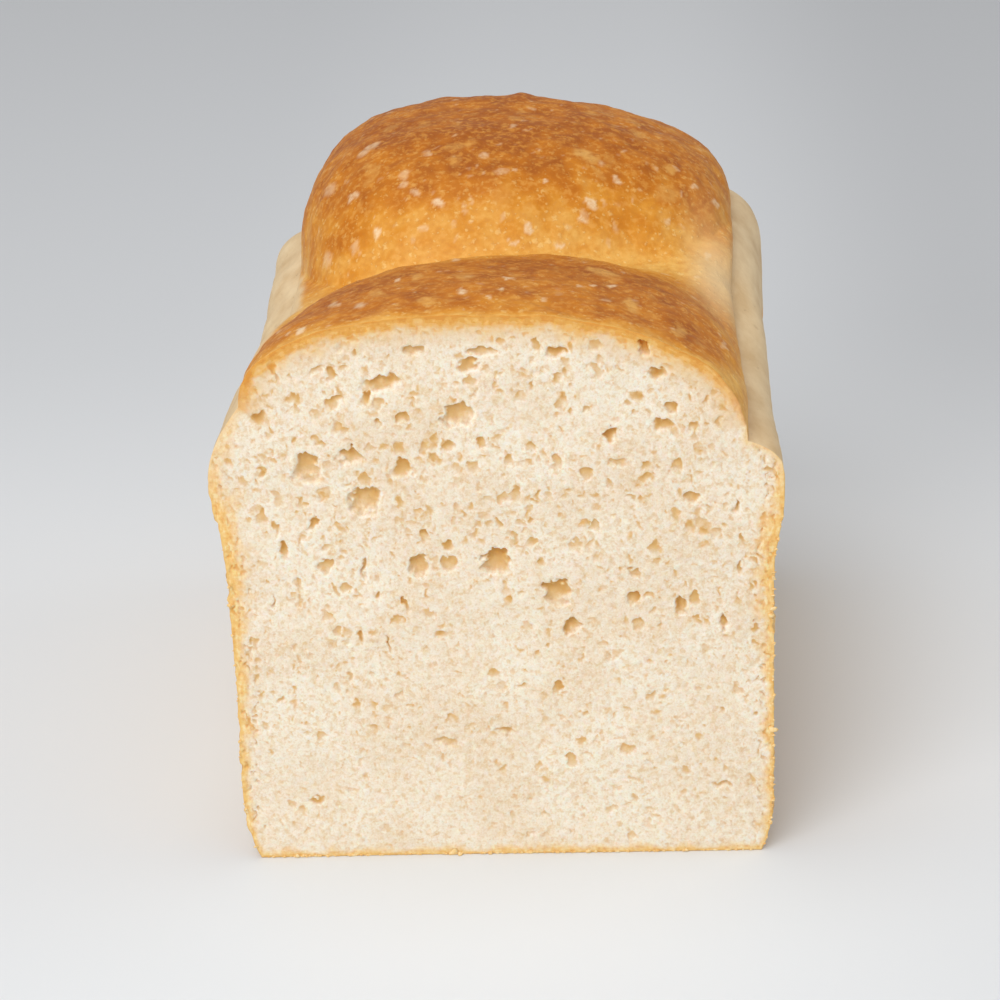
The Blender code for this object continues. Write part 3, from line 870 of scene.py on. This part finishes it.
def crust_band(outline, sheet):
    """How much of the crust's colour shows, 1 at the outline to 0 in the crumb."""
    x, z = outline[sheet.nearest][..., 0], outline[sheet.nearest][..., 1]
    to_right = smooth_step((x + CREASE_HALF_WIDTH) / (2.0 * CREASE_HALF_WIDTH))
    above = z - blend(*CROWN_FROM, to_right)
    crown = smooth_step(above / blend(*CROWN_GROWS, to_right))
    on_crown = smooth_step((above - CROWN_FADE[0]) / CROWN_FADE[1])
    at_side = np.where(x < 0.0, np.interp(z, *BAND_LEFT), np.interp(z, *BAND_RIGHT))
    width = blend(at_side, blend(CROWN_BAND_END, CROWN_BAND, crown), on_crown)
    width = np.where(z < BASE_TOP, BASE_BAND, width)
    ragged = 1.0 + noise_sheets(sheet.x.shape, BAND_RAGGED)
    width = np.maximum(width * ragged, NARROWEST_BAND)
    solid = blend(0.10, 0.30, on_crown) * width
    strength = blend(np.interp(z, *BAND_STRENGTH), blend(0.5, 1.0, crown), on_crown)
    return strength * (1.0 - smooth_step((sheet.distance - solid) / (width - solid))), on_crown


def crumb_cells(sheet):
    """The grid's squares well inside the outline, and a ring of triangles from them to it."""
    solid = sheet.inside & (sheet.distance > RING_GAP * CRUMB_CELL)
    full = solid[:-1, :-1] & solid[1:, :-1] & solid[1:, 1:] & solid[:-1, 1:]
    number = np.full(solid.shape, -1)
    used = np.zeros(solid.shape, bool)
    for rows in (slice(0, -1), slice(1, None)):
        for columns in (slice(0, -1), slice(1, None)):
            used[rows, columns] |= full
    number[used] = np.arange(used.sum())
    r, c = np.nonzero(full)
    corners = (number[r, c], number[r, c + 1], number[r + 1, c + 1], number[r + 1, c])
    quads = np.stack(corners, axis=1)
    points = np.stack([sheet.x[used], sheet.z[used]], axis=1)

    padded = np.pad(full, 1)
    r, c = np.nonzero(padded[:-1, 1:-1] != padded[1:, 1:-1])
    level_edges = np.stack([number[r, c], number[r, c + 1]], axis=1)
    r, c = np.nonzero(padded[1:-1, :-1] != padded[1:-1, 1:])
    upright_edges = np.stack([number[r, c], number[r + 1, c]], axis=1)

    rim = len(points) + np.arange(len(sheet.outline))
    points = np.vstack([points, sheet.outline])
    loop = np.stack([rim, np.roll(rim, -1)], axis=1)
    edges = np.vstack([level_edges, upright_edges, loop])
    picked, local = np.unique(edges, return_inverse=True)
    local = local.reshape(edges.shape)
    found = geometry.delaunay_2d_cdt(
        [Vector(point) for point in points[picked]], local.tolist(), [], 0, MERGE, True)
    places = np.array([tuple(point) for point in found[0]])
    triangles = np.array(found[2])
    global_number = np.array([picked[ids[0]] for ids in found[3]])
    middles = places[triangles].mean(axis=1)
    column = ((middles[:, 0] - sheet.low[0]) / CRUMB_CELL).astype(int)
    row = ((middles[:, 1] - sheet.low[1]) / CRUMB_CELL).astype(int)
    in_square = full[np.clip(row, 0, full.shape[0] - 1), np.clip(column, 0, full.shape[1] - 1)]
    keep = ~in_square & inside_polygon(*middles.T, sheet.outline)
    ring = global_number[triangles[keep]]
    a, b, c = (points[ring[:, k]] for k in range(3))
    turned = (b - a)[:, 0] * (c - a)[:, 1] - (b - a)[:, 1] * (c - a)[:, 0] < 0.0
    ring[turned] = ring[turned][:, ::-1]
    return points, quads, ring, rim


def decimated(mesh, rim):
    """The mesh with fewer faces where it is smooth; its rim keeps its points."""
    piece = bpy.data.objects.new("crumb_fine", mesh)
    bpy.context.scene.collection.objects.link(piece)
    group = piece.vertex_groups.new(name="free")
    free = np.setdiff1d(np.arange(len(mesh.vertices)), rim)
    group.add(free.tolist(), 1.0, "REPLACE")
    modifier = piece.modifiers.new("fewer", "DECIMATE")
    triangles = sum(len(face.vertices) - 2 for face in mesh.polygons)
    modifier.ratio = min(1.0, CRUMB_FACES / triangles)
    modifier.vertex_group = "free"
    modifier.vertex_group_factor = 100.0
    graph = bpy.context.evaluated_depsgraph_get()
    result = bpy.data.meshes.new_from_object(piece.evaluated_get(graph))
    bpy.data.objects.remove(piece)
    return result


def close_behind(mesh):
    """Makes a slab of the crumb's sheet."""
    bm = bmesh.new()
    bm.from_mesh(mesh)
    border = [edge for edge in bm.edges if edge.is_boundary]
    grown = bmesh.ops.extrude_edge_only(bm, edges=border)["geom"]
    middle = 0.5 * FRONT_HUMP[0]
    for vertex in (item for item in grown if isinstance(item, bmesh.types.BMVert)):
        vertex.co.x *= SLAB_SHRINK
        vertex.co.z = middle + SLAB_SHRINK * (vertex.co.z - middle)
        vertex.co.y = SLAB_DEPTH
    new_edges = [item for item in grown if isinstance(item, bmesh.types.BMEdge)]
    bmesh.ops.holes_fill(bm, edges=[edge for edge in new_edges if edge.is_boundary], sides=0)
    bmesh.ops.triangulate(bm, faces=[face for face in bm.faces if len(face.verts) > 4])
    bmesh.ops.recalc_face_normals(bm, faces=bm.faces)
    bm.to_mesh(mesh)
    bm.free()


def make_crumb(outline_points, material, shift):
    outline = outline_points[:, [0, 2]]
    sheet = CrumbSheet(outline)
    relief, painted_pore_shade = crumb_relief(sheet)
    band, on_crown = crust_band(outline, sheet)
    places, quads, ring, rim = crumb_cells(sheet)
    depth = sheet.look_up(relief, *places.T)
    depth[rim] = 0.0
    y = knife_waves(*places.T) + depth
    points = np.stack([places[:, 0], y, places[:, 1]], axis=1)
    mesh = make_mesh("crumb", points, quads.tolist() + ring.tolist())
    mesh = decimated(mesh, rim)
    mesh.name = "crumb"
    close_behind(mesh)
    made = np.zeros(len(mesh.vertices) * 3, np.float32)
    mesh.vertices.foreach_get("co", made)
    x, y, z = made.reshape(-1, 3).T.astype(float)
    steps = np.linalg.norm(np.roll(outline, -1, axis=0) - outline, axis=1)
    passed = np.concatenate([[0.0], np.cumsum(steps)[:-1]])
    # the "pore" attribute is the shade painted into the pores
    fields = {"pore": painted_pore_shade, "band": band, "edge": sheet.distance, "along": passed[sheet.nearest],
              "on_crown": on_crown}
    for name, field in fields.items():
        set_attribute(mesh, name, sheet.look_up(field, x, z))
    return add_piece("crumb", mesh, material, shift)


# ---- loose crumbs ----

# Crumbs that stand out: which edge, how far along it, radius
LARGE_CRUMBS = [
    ("base", -47.0, 0.7), ("base", -45.2, 0.5), ("base", -12.3, 0.9), ("base", -11.0, 0.6),
    ("base", -4.4, 0.5), ("base", 17.0, 0.5), ("base", 38.5, 0.6), ("right", 30.0, 0.9),
    ("right", 18.0, 0.8), ("right", 16.4, 0.5), ("right", 57.0, 0.7), ("right", 58.6, 0.5),
    ("left", 66.0, 0.5), ("left", 61.5, 0.6), ("left", 12.0, 0.5),
]
SMALL_CRUMBS = 200
SMALL_CRUMB_RADII = (0.15, 0.38)
CRUMB_ROUNDNESS = 2             # how often the crumbs' round start is subdivided
# The cut's edges: the axis each runs along, from and to, and which way its crumbs lean
CRUMB_EDGES = {
    "base": (0, -54.0, 54.0, (0.0, -0.1, 0.45)),
    "left": (2, 1.0, 84.0, (0.3, -0.3, 0.0)),
    "right": (2, 1.0, 84.0, (-0.35, -0.3, 0.0)),
}
EDGE_SHARES = ["base"] * 5 + ["left"] + ["right"] * 2       # where the small crumbs are


def make_loose_crumbs(side_front, material, shift):
    """Small crumbs the knife left hanging along the edges of the cut, merged into one mesh."""
    rng = np.random.default_rng(SEED + 2)
    crumbs = list(LARGE_CRUMBS)
    for _ in range(SMALL_CRUMBS):
        name = str(rng.choice(EDGE_SHARES))
        _, low, high, _ = CRUMB_EDGES[name]
        crumbs.append((name, rng.uniform(low, high), rng.uniform(*SMALL_CRUMB_RADII)))
    start = bmesh.new()
    bmesh.ops.create_icosphere(start, subdivisions=CRUMB_ROUNDNESS, radius=1.0)
    ball = np.array([tuple(vertex.co) for vertex in start.verts])
    ball_faces = np.array([[vertex.index for vertex in face.verts] for face in start.faces])
    start.free()
    points, faces = [], []
    for number, (name, along, radius) in enumerate(crumbs):
        line = side_front[name]
        axis, _, _, lean = CRUMB_EDGES[name]
        order = np.argsort(line[:, axis])
        place = np.array([np.interp(along, line[order, axis], line[order, k]) for k in range(3)])
        lump = ball * rng.uniform(0.6, 1.2, 3) * [1.25, 0.8, 0.9]
        lump *= (1.0 + 0.26 * waves(lump, 1.5, 100 + number, 12))[:, None]
        lump = lump * radius + place + np.array(lean) * radius
        lump[:, 2] = np.maximum(lump[:, 2], 0.0)
        faces.append(ball_faces + sum(len(part) for part in points))
        points.append(lump)
    mesh = make_mesh("edge_crumbs", np.vstack(points), np.vstack(faces))
    add_piece("edge_crumbs", mesh, material, shift)


# ---- materials ----

class Look:
    """A material and short ways to add nodes to it."""

    def __init__(self, name, roughness, specular):
        self.material = bpy.data.materials.new(name)
        self.material.use_nodes = True
        self.tree = self.material.node_tree
        self.shader = self.tree.nodes["Principled BSDF"]
        self.fill(self.shader, {"Roughness": roughness, "Specular IOR Level": specular})
        self.place = self.node("TexCoord", {})["Object"]

    def fill(self, node, inputs):
        """Links a node's inputs, or sets them."""
        for name, value in inputs.items():
            if isinstance(value, bpy.types.NodeSocket):
                self.tree.links.new(value, node.inputs[name])
            else:
                node.inputs[name].default_value = value

    def node(self, kind, inputs, **settings):
        """Adds a node and gives back its outputs."""
        node = self.tree.nodes.new("ShaderNode" + kind)
        for name, value in settings.items():
            setattr(node, name, value)
        self.fill(node, inputs)
        return node.outputs

    def attribute(self, name):
        return self.node("Attribute", {}, attribute_name=name)["Fac"]

    def noise(self, size, detail=3.0, roughness=0.55, place=None, output="Fac"):
        """Cloudy noise whose clouds are about the given size in millimetres."""
        inputs = {"Vector": place or self.place, "Scale": 1.0 / (size * MM)}
        inputs.update({"Detail": detail, "Roughness": roughness})
        return self.node("TexNoise", inputs)[output]

    def layer_noise(self, thickness, length):
        """Noise in layers that follow the outline of the cut; needs its attributes."""
        across = self.math("MULTIPLY", self.attribute("edge"), 1.0 / thickness)
        along = self.math("MULTIPLY", self.attribute("along"), 1.0 / length)
        place = self.node("CombineXYZ", {"X": across, "Y": along})[0]
        return self.noise(1.0 / MM, roughness=0.5, place=place)

    def round_spots(self, spacing, smallest, largest):
        """Round spots of uneven radius, bent a little: how far each place is into one, 0 to 1."""
        bend = self.noise(0.8, detail=1.0, roughness=0.5, output="Color")
        inputs = {0: bend, 1: (0.7 * spacing * MM,) * 3, 2: self.place}
        place = self.node("VectorMath", inputs, operation="MULTIPLY_ADD")[0]
        cell = self.node("TexVoronoi", {"Vector": place, "Scale": 1.0 / (spacing * MM)})
        radius = self.spread(cell["Color"], 0.25, 0.85, smallest / spacing, largest / spacing)
        return self.spread(self.math("DIVIDE", cell["Distance"], radius), 1.0, 0.35)

    def math(self, operation, a, b, clamp=False):
        return self.node("Math", {0: a, 1: b}, operation=operation, use_clamp=clamp)[0]

    def spread(self, value, low, high, to_low=0.0, to_high=1.0):
        """Maps low..high to to_low..to_high, smoothly and clamped."""
        inputs = {"Value": value, "From Min": low, "From Max": high, "To Min": to_low, "To Max": to_high}
        return self.node("MapRange", inputs, interpolation_type="SMOOTHSTEP")["Result"]

    def mix(self, share, a, b):
        """Two colours mixed; each is a socket, or is given as it looks on a screen."""
        a, b = (value if isinstance(value, bpy.types.NodeSocket) else colour(*value) for value in (a, b))
        return self.node("Mix", {0: share, 6: a, 7: b}, data_type="RGBA")[2]

    def wash(self, base, field, most, tint):
        """Another colour over the base where a field is high, up to a share."""
        return self.mix(self.math("MULTIPLY", field, most), base, tint)

    def tint(self, base, field, low, high, most, tint):
        """Another colour over the base as a field goes from low to high, up to a share."""
        return self.mix(self.spread(field, low, high, 0.0, most), base, tint)

    def ramp(self, value, *stops):
        """Colours along a value; each stop is a place and a colour as it looks on a screen."""
        result = self.node("ValToRGB", {"Fac": value})["Color"]
        elements = result.node.color_ramp.elements
        first, *between, last = stops
        for number, (position, stop_colour) in enumerate((first, last, *between)):
            element = elements[number] if number < 2 else elements.new(position)
            element.position = position
            element.color = colour(*stop_colour)
        return result

    def bump(self, height, distance, under=None):
        """A bump whose full height is the given distance in millimetres."""
        inputs = {"Height": height, "Distance": distance * MM}
        if under is not None:
            inputs["Normal"] = under
        return self.node("Bump", inputs)["Normal"]

    def finish(self, base_colour, normal):
        self.fill(self.shader, {"Base Color": base_colour, "Normal": normal})
        return self.material


def crown_look():
    look = Look("baked_crown", roughness=0.50, specular=0.16)
    clouds = look.noise(24.0, detail=2.0)
    blotches = look.noise(6.0, detail=4.0, roughness=0.62)
    change = look.math("ADD", look.spread(clouds, 0.3, 0.7, -0.12, 0.12),
                       look.spread(blotches, 0.3, 0.7, -0.24, 0.24))
    baked = look.attribute("bake")
    change = look.math("MULTIPLY", change, look.spread(baked, 0.0, 0.6, 0.4, 1.0))
    bake = look.math("ADD", baked, change, clamp=True)
    base = look.ramp(bake, (0.0, (230, 174, 86)), (0.30, (215, 142, 44)), (0.60, (199, 119, 26)),
                     (0.82, (186, 106, 22)), (1.0, (168, 92, 24)))
    peel = look.noise(1.5, detail=2.0)
    base = look.tint(base, peel, 0.45, 0.70, 0.42, look.mix(bake, (246, 198, 112), (230, 160, 68)))
    base = look.tint(base, peel, 0.50, 0.30, 0.46, look.mix(bake, (210, 136, 48), (154, 80, 20)))
    dots = look.math("MAXIMUM", look.round_spots(1.4, 0.20, 0.56), look.round_spots(2.6, 0.30, 0.95))
    strength = look.math("MULTIPLY", dots, look.spread(bake, 0.4, 1.0, 0.42, 0.22))
    base = look.mix(strength, base, look.mix(bake, (250, 216, 144), (240, 184, 98)))
    ragged = look.spread(look.noise(1.3), 0.30, 0.60, 0.5, 1.0)
    for name, most, tint in (("patch", 0.80, (230, 174, 92)), ("fleck", 0.84, (242, 214, 174))):
        field = look.math("MULTIPLY", look.attribute(name), ragged)
        base = look.wash(base, field, most, tint)
    base = look.mix(look.attribute("flank"), base, (228, 196, 148))
    normal = look.bump(look.noise(2.6, detail=2.0), 0.12)
    normal = look.bump(look.math("ADD", look.noise(0.8, detail=2.0), dots), 0.07, under=normal)
    return look.finish(base, normal)


def side_look():
    look = Look("baked_sides", roughness=0.62, specular=0.2)
    level = look.attribute("level")
    clouds = look.noise(22.0)
    wall = look.ramp(clouds, (0.25, (240, 204, 146)), (0.5, (234, 190, 126)), (0.75, (222, 172, 106)))
    pits = look.noise(2.2)
    wall = look.tint(wall, pits, 0.48, 0.32, 0.50, (204, 142, 76))
    wall = look.tint(wall, pits, 0.55, 0.75, 0.40, (248, 220, 168))
    holes = look.round_spots(3.2, 0.10, 0.55)
    wall = look.wash(wall, holes, 0.55, (196, 132, 70))
    stretched = look.node("Mapping", {"Vector": look.place, "Scale": (1.0, 0.5, 0.7)})["Vector"]
    streaks = look.noise(5.0, place=stretched)
    pale = look.ramp(streaks, (0.3, (213, 181, 135)), (0.7, (233, 207, 165)))
    base = look.mix(look.spread(level, 0.97, 1.10), wall, pale)
    rim = look.math("MULTIPLY", look.spread(level, 0.93, 0.99), look.spread(level, 1.10, 1.03))
    base = look.wash(base, rim, 0.6, (224, 170, 108))
    normal = look.bump(look.noise(1.3, detail=4.0), 0.10)
    normal = look.bump(holes, -0.20, under=normal)
    return look.finish(base, normal)


def loose_crumb_look():
    look = Look("golden_crumbs", roughness=0.75, specular=0.15)
    clouds = look.noise(1.2)
    base = look.ramp(clouds, (0.30, (232, 178, 106)), (0.5, (244, 208, 144)), (0.70, (250, 230, 184)))
    return look.finish(base, look.bump(look.noise(0.5), 0.06))


def soft_crumb(look, fine, coarse):
    """The crumb's colour: cream with tan clouds, grains and specks, near-white specks that are painted
    highlights, and painted shade in small dents.
    """
    clouds = look.noise(14.0)
    cream = look.mix(look.spread(clouds, 0.35, 0.65), (242, 228, 207), (249, 239, 223))
    tan = look.noise(1.9, detail=2.0)
    cream = look.tint(cream, tan, 0.46, 0.32, 0.50, (230, 202, 156))
    cream = look.tint(cream, tan, 0.54, 0.68, 0.45, (252, 245, 233))
    grain = look.noise(0.8, detail=2.0)
    cream = look.tint(cream, grain, 0.50, 0.34, 0.38, (224, 192, 146))
    # fine specks: the tan ones are the crumb's own colour, the near-white ones are painted highlights on
    # its grain
    specks = look.noise(0.45, detail=2.0, roughness=0.7)
    cream = look.tint(cream, specks, 0.50, 0.36, 0.20, (218, 186, 136))
    cream = look.tint(cream, specks, 0.50, 0.64, 0.32, (255, 251, 243))
    # painted shade: tan in the small dents
    cream = look.wash(cream, fine, 0.22, (220, 182, 126))
    return look.wash(cream, coarse, 0.42, (224, 186, 130))


def golden_crust(look, edge, on_crown):
    """The crust as cut through: in layers under the crown, grainy at the sides."""
    waver = look.math("ADD", look.spread(look.layer_noise(0.8, 5.0), 0.3, 0.7, -0.55, 0.55),
                      look.spread(look.noise(1.6), 0.3, 0.7, -0.8, 0.8))
    layers = look.math("MULTIPLY", look.math("ADD", edge, waver), 0.25)
    crown = look.ramp(layers, (0.0, (222, 150, 62)), (0.15, (230, 170, 82)), (0.28, (229, 168, 80)),
                      (0.42, (238, 189, 110)), (0.58, (235, 190, 122)), (0.78, (240, 207, 154)),
                      (1.0, (242, 216, 170)))
    granules = look.mix(0.5, look.noise(1.0), look.layer_noise(0.7, 2.4))
    side = look.ramp(granules, (0.36, (229, 165, 84)), (0.44, (240, 192, 112)),
                     (0.53, (245, 206, 136)), (0.62, (250, 226, 170)))
    return look.mix(on_crown, side, crown)


def crumb_look():
    look = Look("white_crumb", roughness=0.85, specular=0.12)
    # small dents: they bump the crumb, and shade is painted into them
    fine = look.round_spots(1.1, 0.10, 0.40)
    coarse = look.round_spots(2.5, 0.20, 0.85)
    on_crown = look.attribute("on_crown")
    edge = look.attribute("edge")
    band = look.attribute("band")
    under_crown = look.math("MULTIPLY", look.spread(edge, 8.5, 2.0, 0.0, 0.52), on_crown)
    base = look.mix(under_crown, soft_crumb(look, fine, coarse), (230, 196, 146))
    base = look.wash(base, band, 0.96, golden_crust(look, edge, on_crown))
    rim = look.math("MULTIPLY", look.spread(edge, 0.7, 0.1), band)
    base = look.wash(base, rim, 0.45, look.mix(on_crown, (238, 190, 112), (216, 142, 56)))

    # painted shade in the pores, from the "pore" attribute: tan where faint, browner where strong, more
    # golden in the crust's band
    pore = look.attribute("pore")
    shallow = look.mix(band, (228, 187, 122), (238, 182, 100))
    deep = look.mix(band, (203, 145, 73), (222, 148, 62))
    base = look.tint(base, pore, -0.15, 0.75, 1.0, shallow)
    base = look.tint(base, pore, 0.45, 1.05, 0.9, deep)
    look.fill(look.shader, {
        "Subsurface Weight": look.spread(edge, 0.1, 1.8),
        "Subsurface Radius": (1.0, 0.8, 0.6),
        "Subsurface Scale": 1.3 * MM,
    })
    normal = look.bump(look.noise(0.9, roughness=0.65), 0.07)
    normal = look.bump(look.math("ADD", fine, coarse), -0.05, under=normal)
    return look.finish(base, normal)


# ---- the stage ----

EYE = Vector((33.68, -605.83, 354.93))      # from the middle of the cut face's foot
EYE_PITCH = math.radians(24.0)
EYE_YAW = math.radians(3.103)
EYE_ROLL = math.radians(2.382)
LENS = 114.85
FLOOR_GAP = 0.00004
LIGHTS_AIM = Vector((0.0, 0.0, 0.06))
# The lamps, in metres and watts: place, width, power
LAMPS = {
    "key": ((-0.45, -1.12, 1.07), 1.3, 14.5),
    "overhead": ((-0.25, 0.0, 1.60), 1.0, 5.5),
    "fill": ((1.39, 0.25, 0.75), 0.9, 2.4),
}


def make_camera():
    forward = Vector((-math.sin(EYE_YAW) * math.cos(EYE_PITCH),
                      math.cos(EYE_YAW) * math.cos(EYE_PITCH), -math.sin(EYE_PITCH)))
    level = Vector((math.cos(EYE_YAW), math.sin(EYE_YAW), 0.0))
    upright = level.cross(forward)
    right = level * math.cos(EYE_ROLL) - upright * math.sin(EYE_ROLL)
    up = level * math.sin(EYE_ROLL) + upright * math.cos(EYE_ROLL)
    data = bpy.data.cameras.new("camera")
    data.sensor_width = 36.0
    data.lens = LENS
    data.clip_start = 0.01
    data.clip_end = 20.0
    camera = bpy.data.objects.new("camera", data)
    bpy.context.scene.collection.objects.link(camera)
    turn = Matrix((right, up, -forward)).transposed()
    eye = EYE * MM + Vector((0.0, LOAF_LOW.y, 0.0))
    camera.matrix_world = Matrix.Translation(eye) @ turn.to_4x4()
    bpy.context.scene.camera = camera


def make_lamp(name, place, width, power):
    data = bpy.data.lights.new(name, "AREA")
    data.shape = "DISK"
    data.size = width
    data.energy = power
    lamp = bpy.data.objects.new(name, data)
    bpy.context.scene.collection.objects.link(lamp)
    lamp.location = place
    lamp.rotation_mode = "QUATERNION"
    lamp.rotation_quaternion = (LIGHTS_AIM - lamp.location).to_track_quat("-Z", "Y")


def floor_look():
    """Pale paper with painted falloff of light, darker towards the back and both sides, and a painted
    shadow in the back corners beside the loaf, strongest on the right.
    """
    look = Look("pale_floor", roughness=0.7, specular=0.2)
    axes = look.node("SeparateXYZ", {0: look.place})
    x, y = axes["X"], axes["Y"]
    # painted falloff of light: darker towards the back
    base = look.mix(look.spread(y, -0.15, 0.80), (227, 229, 231), (209, 210, 212))
    # painted falloff of light towards both sides, more on the right
    sides = look.math("ADD", look.spread(x, -0.06, -0.28, 0.0, 0.35),
                      look.spread(x, 0.02, 0.26, 0.0, 0.5))
    base = look.mix(sides, base, (208, 209, 211))
    # painted shadow beside and behind the loaf, strongest on its right
    corners = look.math("ADD", look.spread(x, -0.02, -0.12, 0.0, 0.35),
                        look.spread(x, 0.03, 0.14, 0.0, 0.80))
    corners = look.math("MULTIPLY", corners, look.spread(y, 0.06, 0.26))
    base = look.mix(corners, base, (193, 194, 196))
    return look.finish(base, look.bump(look.noise(1.5), 0.01))


def make_stage():
    bpy.ops.mesh.primitive_plane_add(size=6.0, location=(0.0, 0.0, -FLOOR_GAP))
    floor = bpy.context.object
    floor.name = "floor"
    floor.data.materials.append(floor_look())
    world = bpy.data.worlds.new("studio")
    world.use_nodes = True
    background = world.node_tree.nodes["Background"]
    background.inputs["Color"].default_value = (0.97, 0.985, 1.0, 1.0)
    background.inputs["Strength"].default_value = 0.46
    bpy.context.scene.world = world
    for name, lamp in LAMPS.items():
        make_lamp(name, *lamp)


def build():
    shift = loaf_shift()
    crown_front = make_crown(crown_look(), shift)
    side_front = make_sides(side_look(), shift)
    outline = np.vstack([
        side_front["base"], side_front["right"][1:], crown_front[1:], side_front["left"][1:-1]])
    crumb = make_crumb(outline, crumb_look(), shift)
    make_loose_crumbs(side_front, loose_crumb_look(), shift)
    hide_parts("loaf")
    make_camera()
    make_stage()


def loaf_shift():
    """From the loaf's own frame, whose Y runs from the cut face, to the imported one."""
    middle = 0.5 * (LOAF_LOW.x + LOAF_HIGH.x) / MM
    return Vector((middle, LOAF_LOW.y / MM, 0.0))


build()
bpy.context.scene.view_settings.view_transform = "Standard"
